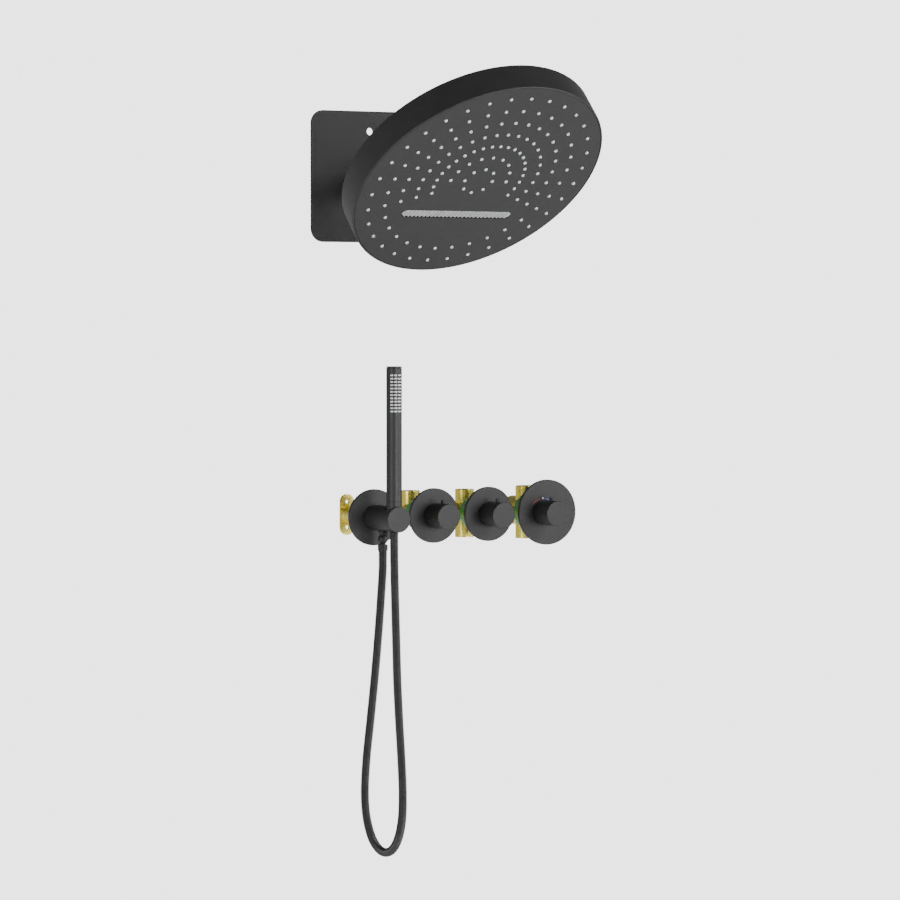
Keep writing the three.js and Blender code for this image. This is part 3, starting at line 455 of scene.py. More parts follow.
class Stock:
    """A mesh being worked with bmesh operators, in millimetres."""

    def __init__(self) -> None:
        """Starts with nothing."""
        self.bm = bmesh.new()

    def _added(self, before: set[bmesh.types.BMVert], place: Matrix) -> "Stock":
        """Welds, turns outwards and places what was just added.

        Args:
            before: The verts that were there already.
            place: Where the added part goes.

        Returns:
            This stock.
        """
        fresh = [v for v in self.bm.verts if v not in before]
        bmesh.ops.remove_doubles(self.bm, verts=fresh, dist=WELD)
        fresh = [v for v in self.bm.verts if v not in before]
        faces = {f for v in fresh for f in v.link_faces}
        bmesh.ops.recalc_face_normals(self.bm, faces=list(faces))
        bmesh.ops.transform(self.bm, matrix=place, verts=fresh)
        return self

    def lathe(self, profile: Sequence[Point], sides: int = MEDIUM, place: Matrix | None = None,
              segments: int = 4) -> "Stock":
        """Adds a profile turned about Z.

        Args:
            profile: Radius and height of each corner, and the size of its rounding where it has one.
            sides: Steps of the turn.
            place: Where the turned piece goes.
            segments: Steps of each rounding.

        Returns:
            This stock.
        """
        before = set(self.bm.verts)
        verts = [self.bm.verts.new((corner[0], 0.0, corner[1])) for corner in profile]
        for first, second in zip(verts, verts[1:]):
            self.bm.edges.new((first, second))
        if profile[0][0] > 0 or profile[-1][0] > 0:
            self.bm.edges.new((verts[-1], verts[0]))
        for size in sorted({corner[2] for corner in profile if len(corner) > 2}):
            rounded = [v for v, corner in zip(verts, profile) if len(corner) > 2 and corner[2] == size]
            bmesh.ops.bevel(self.bm, geom=rounded, offset=size, offset_type="OFFSET", segments=segments,
                            profile=0.5, affect="VERTICES", material=-1, clamp_overlap=True)
        fresh = [v for v in self.bm.verts if v not in before]
        edges = list({e for v in fresh for e in v.link_edges})
        bmesh.ops.spin(self.bm, geom=fresh + edges, cent=(0, 0, 0), axis=(0, 0, 1), dvec=(0, 0, 0),
                       angle=2 * math.pi, steps=sides, use_merge=True, use_duplicate=False)
        return self._added(before, place or Matrix.Identity(4))

    def box(self, width: float, depth: float, height: float, place: Matrix | None = None,
            rounding: float = 0.0, segments: int = 2) -> "Stock":
        """Adds a box centred on the origin of its place.

        Args:
            width: Size along X.
            depth: Size along Y.
            height: Size along Z.
            place: Where it goes.
            rounding: Size of the rounding of every edge.
            segments: Steps of the rounding.

        Returns:
            This stock.
        """
        before = set(self.bm.verts)
        bmesh.ops.create_cube(self.bm, size=1.0)
        fresh = [v for v in self.bm.verts if v not in before]
        bmesh.ops.scale(self.bm, vec=(width, depth, height), verts=fresh)
        if rounding:
            edges = list({e for v in fresh for e in v.link_edges})
            bmesh.ops.bevel(self.bm, geom=edges, offset=rounding, offset_type="OFFSET", segments=segments,
                            profile=0.5, affect="EDGES", material=-1, clamp_overlap=True)
        return self._added(before, place or Matrix.Identity(4))

    def circle(self, radius: float, x: float = 0.0, y: float = 0.0, sides: int = SMALL) -> "Stock":
        """Adds a ring of edges in the XY plane.

        Args:
            radius: The ring's radius.
            x: Its centre along X.
            y: Its centre along Y.
            sides: Steps of the ring.

        Returns:
            This stock.
        """
        bmesh.ops.create_circle(self.bm, cap_ends=False, radius=radius, segments=sides, matrix=shift(x, y))
        return self

    def rounded(self, width: float, height: float, corner: float, x: float = 0.0, y: float = 0.0,
                segments: int = 12) -> "Stock":
        """Adds a rectangle of edges with round corners in the XY plane.

        Args:
            width: Size along X.
            height: Size along Y.
            corner: Radius of the corners.
            x: Its centre along X.
            y: Its centre along Y.
            segments: Steps of each corner.

        Returns:
            This stock.
        """
        before = set(self.bm.verts)
        bmesh.ops.create_grid(self.bm, x_segments=1, y_segments=1, size=0.5)
        fresh = [v for v in self.bm.verts if v not in before]
        bmesh.ops.scale(self.bm, vec=(width, height, 1.0), verts=fresh)
        bmesh.ops.bevel(self.bm, geom=fresh, offset=corner, offset_type="OFFSET", segments=segments,
                        profile=0.5, affect="VERTICES", material=-1, clamp_overlap=True)
        fresh = [v for v in self.bm.verts if v not in before]
        bmesh.ops.remove_doubles(self.bm, verts=fresh, dist=0.01)
        fresh = [v for v in self.bm.verts if v not in before]
        faces = list({f for v in fresh for f in v.link_faces})
        bmesh.ops.delete(self.bm, geom=faces, context="FACES_ONLY")
        bmesh.ops.translate(self.bm, vec=(x, y, 0.0), verts=fresh)
        return self

    def thicken(self, low: float, high: float, place: Matrix | None = None) -> "Stock":
        """Fills the rings of edges drawn so far and makes the sheet thick.

        Args:
            low: Height of its lower side.
            high: Height of its upper side.
            place: Where it goes.

        Returns:
            This stock.
        """
        bmesh.ops.triangle_fill(self.bm, use_beauty=True, use_dissolve=False, edges=self.bm.edges[:],
                                normal=(0.0, 0.0, 1.0))
        flat = self.bm.faces[:]
        grown = bmesh.ops.extrude_face_region(self.bm, geom=flat, use_keep_orig=True)
        raised = [item for item in grown["geom"] if isinstance(item, bmesh.types.BMVert)]
        bmesh.ops.translate(self.bm, vec=(0.0, 0.0, high - low), verts=raised)
        bmesh.ops.translate(self.bm, vec=(0.0, 0.0, low), verts=self.bm.verts[:])
        return self._added(set(), place or Matrix.Identity(4))

    def soften(self, width: float, segments: int = 2, angle: float = 50.0) -> "Stock":
        """Rounds every sharp edge.

        Args:
            width: Size of the rounding.
            segments: Steps of the rounding.
            angle: An edge that turns by more than this, in degrees, is sharp.

        Returns:
            This stock.
        """
        limit = math.radians(angle)
        edges = [e for e in self.bm.edges if len(e.link_faces) == 2 and e.calc_face_angle(0.0) > limit]
        bmesh.ops.bevel(self.bm, geom=edges, offset=width, offset_type="OFFSET", segments=segments,
                        profile=0.5, affect="EDGES", material=-1, clamp_overlap=True)
        return self

    def add(self, other: "Stock", place: Matrix | None = None) -> "Stock":
        """Adds a copy of another stock.

        Args:
            other: The stock.
            place: Where the copy goes.

        Returns:
            This stock.
        """
        mesh = bpy.data.meshes.new("copy")
        other.bm.to_mesh(mesh)
        mesh.transform(place or Matrix.Identity(4))
        self.bm.from_mesh(mesh)
        bpy.data.meshes.remove(mesh)
        return self

    def loose(self) -> bpy.types.Object:
        """Returns the stock as a plain object for a modifier to use."""
        mesh = bpy.data.meshes.new("loose")
        self.bm.to_mesh(mesh)
        obj = bpy.data.objects.new("loose", mesh)
        bpy.context.scene.collection.objects.link(obj)
        return obj

    def worked(self, cut: Cut, tools: Iterable["Stock"]) -> "Stock":
        """Cuts tools away from this stock or joins them to it.

        Args:
            cut: Whether the tools are cut away or joined.
            tools: The other stocks.

        Returns:
            This stock, changed.
        """
        target = self.loose()
        helpers = [tool.loose() for tool in tools]
        for helper in helpers:
            modifier = target.modifiers.new(cut.name, "BOOLEAN")
            modifier.operation = cut.value
            modifier.object = helper
            modifier.solver = "EXACT"
        evaluated = target.evaluated_get(bpy.context.evaluated_depsgraph_get())
        self.bm.free()
        self.bm = bmesh.new()
        self.bm.from_mesh(evaluated.to_mesh())
        evaluated.to_mesh_clear()
        for obj in (target, *helpers):
            mesh = obj.data
            bpy.data.objects.remove(obj)
            bpy.data.meshes.remove(mesh)
        bmesh.ops.remove_doubles(self.bm, verts=self.bm.verts[:], dist=WELD)
        bmesh.ops.dissolve_degenerate(self.bm, edges=self.bm.edges[:], dist=WELD)
        return self

    def piece(self, name: str, finish: Finish, body: str | None, nodes: Sequence[str] = (),
              place: Matrix | None = None) -> bpy.types.Object:
        """Makes the stock a piece of the set.

        Args:
            name: The piece's name.
            finish: Its finish.
            body: The body it rides on, or None for a piece that rides on no body, such as the hose between
                two bodies.
            nodes: The plain solids it stands for.
            place: Where it goes in the wall frame.

        Returns:
            The piece.
        """
        self.bm.transform(WALL @ (place or Matrix.Identity(4)))
        for face in self.bm.faces:
            face.smooth = True
        for edge in self.bm.edges:
            edge.smooth = len(edge.link_faces) == 2 and edge.calc_face_angle(0.0) < SMOOTH_ANGLE
        mesh = bpy.data.meshes.new(name)
        self.bm.to_mesh(mesh)
        self.bm.free()
        obj = bpy.data.objects.new(name, mesh)
        bpy.context.scene.collection.objects.link(obj)
        mesh.materials.append(finish.material())
        weighted = obj.modifiers.new("even shading", "WEIGHTED_NORMAL")
        weighted.keep_sharp = True
        if body:
            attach(obj, body)
        if nodes:
            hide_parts(*nodes)
        LOG.info("%s: %d faces on %s", name, len(mesh.polygons), body)
        return obj


def dress(node: str, finish: Finish) -> None:
    """Gives a plain solid that stays a finish of its own.

    Args:
        node: The solid's node.
        finish: The finish.
    """
    mesh = bpy.data.objects[node].data
    mesh.materials.clear()
    mesh.materials.append(finish.material())


def wall_box(node: str) -> tuple[Vector, Vector]:
    """Returns the lowest and highest corner of a node in the wall frame, in millimetres."""
    low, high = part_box(node)
    return (Vector((low[0], low[2], -high[1])) / MM, Vector((high[0], high[2], -low[1])) / MM)


def middle(node: str) -> Vector:
    """Returns the middle of a node's box in the wall frame, in millimetres."""
    low, high = wall_box(node)
    return (low + high) / 2


def joint_place(joints: Sequence[dict], name: str) -> Vector:
    """Finds where a joint's axis stands.

    Args:
        joints: The record's joints.
        name: The joint's name.

    Returns:
        The place in the wall frame, in millimetres.
    """
    for joint in joints:
        if joint["name"] == name:
            x, y, z = joint["pos_m"]
            return Vector((x, z, -y)) / MM
    raise KeyError(name)


# ---------------------------------------------------------------- wall plate and arm


@dataclass
class WallArm:
    """The square wall plate, the arm's base, the arm and its union nut."""

    side: float = 185.0
    thickness: float = 3.5
    corner: float = 19.0
    hole: float = 5.2
    hole_height: float = 64.0
    inlet_spread: float = 16.0
    inlet_radius: float = 8.0
    base_radius: float = 27.0
    base_depth: float = 20.0
    arm_radius: float = 14.0
    arm_wall: float = 2.0
    socket_depth: float = 8.0
    knee_out: float = 34.0
    knee_bend: float = 60.0
    drop_bend: float = 26.0
    drop_straight: float = 8.0
    drop_angle: float = math.radians(45.0)
    collar_end: float = 30.0
    nut: tuple[float, float, float] = (18.0, 22.0, 38.0)
    nut_lip: float = 25.3
    nut_bore: float = 7.3

    def plate(self) -> None:
        """Builds the wall plate with its screw and inlet holes."""
        stock = Stock().rounded(self.side, self.side, self.corner, segments=14)
        for height in (self.hole_height, -self.hole_height):
            stock.circle(self.hole, 0.0, height)
        for side in (-self.inlet_spread, self.inlet_spread):
            stock.circle(self.inlet_radius + GAP, side, 0.0)
        stock.thicken(0.0, self.thickness).soften(0.5)
        stock.piece("wall_plate_skin", COAT, "root", ["head_wall_plate"])

    def base(self) -> None:
        """Builds the round base that the arm stands in."""
        back = self.thickness + GAP
        front = back + self.base_depth
        floor = front - self.socket_depth
        bore = self.arm_radius + GAP
        profile = [(0, back), (self.base_radius, back, 0.3), (self.base_radius, front, 1.4),
                   (bore, front, 0.3), (bore, floor), (0, floor)]
        Stock().lathe(profile, MEDIUM).piece("arm_base_skin", COAT, "root", ["arm_base"])

    def route(self, ball: Vector) -> list[Vector]:
        """Finds the corners of the arm's centre line, from its base to the ball joint's nut.

        Args:
            ball: Centre of the ball.

        Returns:
            The four corners.
        """
        stud = Vector((0.0, math.sin(self.drop_angle), -math.cos(self.drop_angle)))
        end = ball + stud * (self.collar_end + GAP)
        knee = Vector((0.0, 0.0, self.knee_out))
        reach = self.drop_bend
        corner = end
        for _ in range(12):
            corner = end + stud * (self.drop_straight + reach)
            reach = self.drop_bend / math.tan(stud.angle(corner - knee) / 2)
        start = Vector((0.0, 0.0, self.thickness + GAP + self.base_depth - self.socket_depth + GAP))
        return [start, knee, corner, end]

    def tube(self, ball: Vector) -> None:
        """Builds the arm: straight lengths pushed out and bends spun, with a wall's thickness.

        Args:
            ball: Centre of the ball.
        """
        corners = self.route(ball)
        stock = Stock()
        rings = []
        for radius in (self.arm_radius, self.arm_radius - self.arm_wall):
            made = bmesh.ops.create_circle(stock.bm, cap_ends=False, radius=radius, segments=MEDIUM,
                                           matrix=Matrix.Translation(corners[0]))
            rings.append(made["verts"])
        first = list({e for ring in rings for v in ring for e in v.link_edges})
        edges = first
        here = corners[0]
        for index, bend in ((1, self.knee_bend), (2, self.drop_bend)):
            before = (corners[index - 1] - corners[index]).normalized()
            after = (corners[index + 1] - corners[index]).normalized()
            half = before.angle(after) / 2
            start = corners[index] + before * (bend / math.tan(half))
            centre = corners[index] + (before + after).normalized() * (bend / math.sin(half))
            edges = self._push(stock, edges, start - here)
            turn = before.cross(after).normalized()
            swept = bmesh.ops.spin(stock.bm, geom=edges, cent=centre, axis=-turn, dvec=(0, 0, 0),
                                   angle=math.pi - 2 * half, steps=14, use_merge=False, use_duplicate=False)
            edges = [item for item in swept["geom_last"] if isinstance(item, bmesh.types.BMEdge)]
            here = corners[index] + after * (bend / math.tan(half))
        last = self._push(stock, edges, corners[3] - here)
        bmesh.ops.bridge_loops(stock.bm, edges=first)
        bmesh.ops.bridge_loops(stock.bm, edges=last)
        bmesh.ops.recalc_face_normals(stock.bm, faces=stock.bm.faces[:])
        stock.piece("arm_tube_skin", COAT, "root", ["arm_tube"])

    @staticmethod
    def _push(stock: Stock, edges: list[bmesh.types.BMEdge], step: Vector) -> list[bmesh.types.BMEdge]:
        """Extrudes rings of edges by a step.

        Args:
            stock: The stock that they are in.
            edges: The rings.
            step: How far they go.

        Returns:
            The new rings.
        """
        grown = bmesh.ops.extrude_edge_only(stock.bm, edges=edges)["geom"]
        verts = [item for item in grown if isinstance(item, bmesh.types.BMVert)]
        bmesh.ops.translate(stock.bm, vec=step, verts=verts)
        return [item for item in grown if isinstance(item, bmesh.types.BMEdge)]

    def inlets(self) -> None:
        """Builds the two threaded inlet tails behind the plate."""
        for name in ("rain_inlet", "waterfall_inlet"):
            low, high = wall_box(name)
            x = middle(name).x
            stock = Stock().lathe(thread_profile(self.inlet_radius, INLET_BORE, low.z, -2.0, high.z, 1.5), 48)
            stock.piece(f"{name}_skin", BRASS, "root", [name], shift(x, 0.0, 0.0))

    def build(self, ball: Vector) -> None:
        """Builds the plate, base, arm, nut and inlets.

        Args:
            ball: Centre of the ball that the arm ends at.
        """
        self.plate()
        self.base()
        self.tube(ball)
        self.inlets()
        radius, start, end = self.nut
        bore = self.arm_radius + GAP
        profile = [(self.nut_bore, start, 0.3), (radius, start, 1.0), (radius, end, 0.8), (bore, end, 0.2),
                   (bore, self.nut_lip), (self.nut_bore, self.nut_lip)]
        place = Matrix.Translation(ball) @ Matrix.Rotation(-self.drop_angle, 4, "X") @ Axis.UP.turn()
        Stock().lathe(profile, MEDIUM).piece("union_nut_skin", COAT, "root", ["arm_union_nut"], place)
        for node in ("rain_supply_pipe", "waterfall_supply_pipe"):
            dress(node, BRASS)


def rod(radius: float, low: float, high: float) -> list[Point]:
    """Returns the profile of a plain rod, such as one that cuts a bore.

    Args:
        radius: Its radius.
        low: Height of its lower end.
        high: Height of its upper end.

    Returns:
        Radius and height of each corner.
    """
    return [(0, low), (radius, low), (radius, high), (0, high)]


def thread_profile(radius: float, bore: float, low: float, thread_end: float, high: float,
                   pitch: float) -> list[Point]:
    """Returns the profile of a tube with a thread outside, from its low end to thread_end.

    Args:
        radius: The thread's outer radius.
        bore: The tube's inner radius.
        low: Height of the threaded end.
        thread_end: Height where the thread ends.
        high: Height of the other end.
        pitch: Distance between crests.

    Returns:
        Radius and height of each corner.
    """
    profile: list[Point] = [(bore, low), (radius - 0.8, low)]
    depth = 0.55 * pitch
    height = low + pitch / 2
    while height + pitch < thread_end:
        profile += [(radius, height + 0.4 * pitch), (radius, height + 0.6 * pitch),
                    (radius - depth, height + pitch)]
        height += pitch
    profile += [(radius, thread_end), (radius, high), (bore, high)]
    return profile


# ---------------------------------------------------------------- head and ball joint


@dataclass
class RainHead:
    """The tilted drum with its face, nozzles and waterfall lip, and the ball joint on its back."""

    yaw: float = math.radians(6.3)
    tilt: float = math.radians(40.8)
    radius: float = 181.0
    depth: float = 41.5
    back: float = -14.0
    wall: float = 2.0
    rim: float = 2.4
    face_thickness: float = 3.0
    ledge: float = 6.0
    mouth: float = 25.7
    slot_centre: float = 67.1
    slot_half_length: float = 89.0
    slot_half_width: float = 6.6
    ribs: int = 27
    rib_lean: float = math.radians(16.0)
    nozzle_radius: float = 2.4
    nozzle_proud: float = 1.5
    nozzle_step: float = math.radians(11.25)
    cap_radius: float = 30.4
    cap_top: float = 11.0
    cap_thread: float = 25.7
    grips: int = 36
    ball_radius: float = 18.0
    ball_neck: float = 7.0
    ball_bore: float = 4.5
    stud_radius: float = 14.0
    rings: tuple[tuple[float, int, int, int], ...] = (
        (22.6, 0, 28, 4), (45.5, 0, 16, 2), (67.7, -2, 18, 1), (90.2, -2, 18, 1), (112.7, -2, 18, 1),
        (135.3, 0, 31, 1), (159.2, 0, 31, 1))

    def __post_init__(self) -> None:
        """Works out what follows from the sizes."""
        self.front = self.back - self.depth
        self.face_radius = self.radius - self.rim - GAP
        self.place = Matrix.Identity(4)

    def nozzle_places(self) -> list[tuple[float, float]]:
        """Returns where the nozzles stand on the face."""
        places = []
        for radius, first, last, every in self.rings:
            for step in range(first, last + 1, every):
                angle = -step * self.nozzle_step
                places.append((radius * math.cos(angle), radius * math.sin(angle)))
        return places

    def shell(self) -> None:
        """Builds the back shell: a drum with a rolled front lip."""
        outer, inner = self.radius, self.radius - self.wall
        under = self.back - self.wall
        ledge_low = self.front + self.face_thickness + GAP
        ledge = self.radius - self.rim - self.ledge
        lip = self.face_radius + GAP
        profile = [(self.mouth, under), (self.mouth, self.back, 0.3), (outer, self.back, 2.2),
                   (outer, self.front, 1.1), (lip, self.front, 0.5), (lip, ledge_low), (ledge, ledge_low),
                   (ledge, ledge_low + 2.7), (inner, ledge_low + 6.0), (inner, under)]
        Stock().lathe(profile, ROUND, segments=5).piece(
            "head_shell_skin", COAT, "head", ["head_back_shell"], self.place)

    def face(self) -> None:
        """Builds the face plate with a hole for each nozzle and the waterfall slot."""
        stock = Stock().circle(self.face_radius, sides=ROUND)
        width = 2 * (self.slot_half_length + GAP)
        height = 2 * (self.slot_half_width + GAP)
        stock.rounded(width, height, height / 2 - WELD, 0.0, self.slot_centre, segments=10)
        for x, y in self.nozzle_places():
            stock.circle(self.nozzle_radius + GAP, x, y, 16)
        stock.thicken(self.front, self.front + self.face_thickness)
        rim = [e for e in stock.bm.edges
               if all(math.hypot(v.co.x, v.co.y) > self.face_radius - 1 and v.co.z < self.front + WELD
                      for v in e.verts)]
        bmesh.ops.bevel(stock.bm, geom=rim, offset=0.5, offset_type="OFFSET", segments=3, profile=0.5,
                        affect="EDGES", material=-1)
        stock.piece("head_face_skin", COAT, "head", ["head_face_plate"], self.place)

    def nozzles(self) -> None:
        """Builds the nozzle mat: a sheet behind the face with a soft tip through every hole."""
        tip = Stock()
        proud, radius = self.front - self.nozzle_proud, self.nozzle_radius
        back = self.front + self.face_thickness
        tip.lathe([(0, proud + 0.6), (0.45, proud + 0.5), (0.6, proud), (radius * 0.5, proud),
                   (radius * 0.82, proud + 0.4), (radius, proud + 1.2), (radius, back), (0, back)], 14)
        stock = Stock()
        sheet_low = back + GAP
        width = 2 * (self.slot_half_length + 3.0)
        height = 2 * (self.slot_half_width + 3.0)
        stock.circle(self.radius - self.rim - self.ledge - GAP, sides=96)
        stock.rounded(width, height, height / 2 - WELD, 0.0, self.slot_centre, segments=8)
        stock.thicken(sheet_low, sheet_low + 2.0)
        for x, y in self.nozzle_places():
            stock.add(tip, shift(x, y, 0.0))
        stock.piece("nozzle_mat_skin", SILICONE, "head", ["rain_nozzle_mat"], self.place)

    def waterfall(self) -> None:
        """Builds the waterfall lip: a bar with a row of round ribs that end in teeth along one edge."""
        stock = Stock()
        low = self.front - 0.5
        width = 2 * self.slot_half_length
        height = 2 * self.slot_half_width - 2.6
        stock.rounded(width, height, height / 2 - WELD, 0.0, self.slot_centre - 1.2, segments=10)
        stock.thicken(low + 1.0, low + 6.0).soften(0.4)
        pitch = (width - 2 * self.slot_half_width) / (self.ribs - 1)
        rib = Stock().box(pitch * 0.7, 2 * self.slot_half_width - 1.4, 3.0, rounding=1.4, segments=3)
        lean = Matrix.Rotation(self.rib_lean, 4, "Z")
        for index in range(self.ribs):
            x = -self.slot_half_length + self.slot_half_width + index * pitch
            stock.add(rib, shift(x, self.slot_centre, low + 1.5) @ lean)
        stock.piece("waterfall_lip_skin", LIP, "head", ["waterfall_spout"], self.place)

    def ball_joint(self, ball: Vector, drop_angle: float) -> None:
        """Builds the cap nut and the ball with its stud.

        Args:
            ball: Centre of the ball.
            drop_angle: Angle of the arm's end below level.
        """
        low, top, thread = self.back + GAP, self.cap_top, self.cap_thread
        cap = [(thread, low, 0.2), (self.cap_radius, low, 0.6), (self.cap_radius, 9.0), (28.0, top, 0.8),
               (15.1, top, 0.5), (16.7, 8.4), (18.0, 6.7), (thread, 6.7)]
        stock = Stock().lathe(cap, FINE)
        cutter = Stock()
        for index in range(self.grips):
            turn = Matrix.Rotation(2 * math.pi * index / self.grips, 4, "Z")
            cutter.lathe([(0, -9.0), (0.9, -9.0), (0.9, 5.0, 0.5), (0, 5.0)], 10,
                         turn @ shift(30.9, 0.0, 0.0))
        stock.worked(Cut.AWAY, [cutter])
        stock.piece("cap_nut_skin", COAT, "head", ["ball_cap_nut"], self.place)
        steps = 20
        neck, bore, radius = self.ball_neck, self.ball_bore, self.ball_radius
        first = math.asin(bore / radius)
        sweep = math.pi - math.asin(neck / radius) - first
        profile: list[Point] = []
        for index in range(steps + 1):
            angle = first + sweep * index / steps
            profile.append((radius * math.sin(angle), -radius * math.cos(angle)))
        stud = self.stud_radius
        profile += [(neck, 25.6, 0.6), (stud, 25.6, 0.3), (stud, 30.0, 0.3), (bore, 30.0)]
        place = Matrix.Translation(ball) @ Matrix.Rotation(-drop_angle, 4, "X") @ Axis.UP.turn()
        Stock().lathe(profile, MEDIUM).piece("swivel_ball_skin", STEEL, "swivel", ["swivel_ball"], place)

    def build(self, ball: Vector, drop_angle: float) -> None:
        """Builds the head round the ball's centre.

        Args:
            ball: Centre of the ball.
            drop_angle: Angle of the arm's end below level.
        """
        turned = Matrix.Rotation(self.yaw, 4, "Y") @ Matrix.Rotation(-self.tilt, 4, "X")
        self.place = Matrix.Translation(ball) @ turned @ Axis.UP.turn()
        self.shell()
        self.face()
        self.nozzles()
        self.waterfall()
        self.ball_joint(ball, drop_angle)
        for node in ("ball_seat", "rain_chamber", "waterfall_box", "flow_divider"):
            dress(node, PLASTIC)
        dress("ball_gasket", RUBBER)
        dress("ball_socket", BRASS)
        dress("waterfall_feed", SILICONE)


# ---------------------------------------------------------------- concealed valves


@dataclass
class Valve:
    """One control: trim plate, knob with its pin, guard sleeve and the parts inside."""

    name: str
    guard: float
    print_scale: bool = False
    plate_thickness: float = 5.0
    collar_radius: float = 17.3
    collar_end: float = 13.0
    knob_radius: float = 18.25
    knob_length: float = 35.5
    pin_radius: float = 3.2
    pin_setback: float = 18.5
    pin_stand: float = 5.0
    pin_head: float = 3.0
    pin_root: float = 14.3
    pin_dimple: float = 1.4
    pin_fit: float = 0.15
    hole: tuple[float, float] = (12.0, 20.0)
    bore: float = 9.0
    guard_wall: float = 2.0

    def build(self) -> Vector:
        """Builds the valve's pieces and returns where its axis stands."""
        axis = middle(f"{self.name}_knob")
        body = f"{self.name}_control"
        place = shift(axis.x, axis.y, 0.0)
        self.trim(axis)
        start = self.collar_end + GAP
        front = start + self.knob_length
        out = front - self.pin_setback
        knob = [(0, start), (self.knob_radius, start, 0.5), (self.knob_radius, front, 0.7), (0, front)]
        stand = shift(0.0, 0.0, out) @ Axis.UP.turn()
        hole = Stock().lathe(rod(self.pin_radius + self.pin_fit, *self.hole), SMALL, stand)
        Stock().lathe(knob, FINE).worked(Cut.AWAY, [hole]).piece(
            f"{self.name}_knob_skin", COAT, body, [f"{self.name}_knob"], place)
        top = self.knob_radius + self.pin_stand
        head = top - self.pin_head
        stem = self.pin_radius - 0.3
        pin = [(0, self.pin_root), (stem, self.pin_root), (stem, head - 0.3), (self.pin_radius, head, 0.15),
               (self.pin_radius, top, 0.5), (self.pin_dimple, top, 0.15), (self.pin_dimple, top - 0.8),
               (0, top - 0.8)]
        Stock().lathe(pin, SMALL, stand).piece(
            f"{self.name}_pin_skin", COAT, body, [f"{self.name}_pin"], place)
        self.sleeve(place)
        dress(f"{self.name}_spindle", BRASS)
        dress(f"{self.name}_cartridge", PLASTIC)
        dress(f"{self.name}_cartridge_nut", BRASS)
        return axis

    def trim(self, axis: Vector) -> None:
        """Builds the trim plate with the collar that the knob turns against.

        Args:
            axis: Where the valve's axis stands.
        """
        low, high = wall_box(f"{self.name}_trim_plate")
        radius = (high.x - low.x) / 2
        offset = (high.x + low.x) / 2 - axis.x
        top = self.plate_thickness
        plate = [(0, 0), (radius, 0, 0.3), (radius, top, 0.7), (0, top)]
        stock = Stock().lathe(plate, FINE, shift(offset, 0.0, 0.0))
        collar = [(0, top - 1.0), (self.collar_radius, top - 1.0), (self.collar_radius, self.collar_end, 0.4),
                  (0, self.collar_end)]
        bore = rod(self.bore, -1.0, self.collar_end + 1.0)
        stock.worked(Cut.JOIN, [Stock().lathe(collar, FINE)]).worked(Cut.AWAY, [Stock().lathe(bore, SMALL)])
        finish: Finish = COAT
        if self.print_scale:
            finish = ScaleCoat("charcoal_coat_with_scale", COAT.slot, centre=(axis.x * MM, axis.y * MM))
        stock.piece(f"{self.name}_trim_skin", finish, "root", [f"{self.name}_trim_plate"],
                    shift(axis.x, axis.y, 0.0))

    def sleeve(self, place: Matrix) -> None:
        """Builds the guard sleeve that covers the valve while the wall is finished.

        Args:
            place: Where the valve's axis stands.
        """
        low, high = wall_box(f"{self.name}_guard_sleeve")
        inner = self.guard - self.guard_wall
        profile = [(inner, low.z, 0.3), (self.guard, low.z, 0.5), (self.guard, high.z, 0.5),
                   (inner, high.z, 0.3)]
        Stock().lathe(profile, MEDIUM).piece(
            f"{self.name}_guard_skin", GUARD, "root", [f"{self.name}_guard_sleeve"], place)


@dataclass
class Manifold:
    """The three brass bodies, their link and their pipe ports."""

    depth: float = 69.0
    tube_radius: float = 13.8
    link_radius: float = 13.0
    bore: float = 9.4
    housing_front: float = -14.0
    housing_back: float = -85.0
    seat: float = 13.3
    seat_back: float = -52.3
    thread_length: float = 12.0
    thread_pitch: float = 1.8
    thread_depth: float = 0.9
    thread_end: float = 1.2

    def port(self, low: float, high: float, place: Matrix, open_low: bool) -> tuple[Stock, Stock]:
        """Returns a port's outside and its threaded bore.

        Args:
            low: Height of its lower end.
            high: Height of its upper end.
            place: Where its axis stands.
            open_low: Whether the lower end is open too.

        Returns:
            The outside and the bore, as two stocks.
        """
        outside = [(0, low), (self.tube_radius, low, 0.7), (self.tube_radius, high, 0.7), (0, high)]
        start = low - 1.0 if open_low else 0.0
        bore: list[Point] = [(0, start), (self.bore, start)]
        height, root = high - self.thread_length, self.bore + self.thread_depth
        bore.append((self.bore, height))
        while height < high - self.thread_end:
            bore += [(root, height + self.thread_pitch / 2), (self.bore, height + self.thread_pitch)]
            height += self.thread_pitch
        bore += [(root, high), (root, high + 1.0), (0, high + 1.0)]
        stand = place @ Axis.UP.turn()
        return Stock().lathe(outside, FINE, stand), Stock().lathe(bore, SMALL, stand)

    def build(self, valves: Sequence[tuple[Vector, float, float, float, float]]) -> None:
        """Builds the manifold.

        Args:
            valves: Each valve's axis, housing radius, tube distance out, and its tube's lower and upper end.
        """
        first, last = valves[0][0].x, valves[-1][0].x
        length = last - first
        row = valves[0][0].y
        link = rod(self.link_radius, 0, length)
        joined, cuts = [], []
        for axis, housing, out, low, high in valves:
            body = [(0, self.housing_back), (housing, self.housing_back, 1.2),
                    (housing, self.housing_front, 0.6), (0, self.housing_front)]
            joined.append(Stock().lathe(body, FINE, shift(axis.x, 0.0, 0.0)))
            outside, bore = self.port(low, high, shift(axis.x, 0.0, out), low < -5.0)
            joined.append(outside)
            seat = rod(self.seat, self.seat_back, self.housing_front + 1.0)
            cuts += [bore, Stock().lathe(seat, 48, shift(axis.x, 0.0, 0.0))]
        stock = Stock().lathe(link, FINE, shift(first, 0.0, -self.depth) @ Axis.RIGHT.turn())
        stock.worked(Cut.JOIN, joined).worked(Cut.AWAY, cuts)
        stock.piece("manifold_skin", BRASS, "root", ["valve_manifold"], shift(0.0, row, 0.0))


# ---------------------------------------------------------------- outlet, holder and hand shower


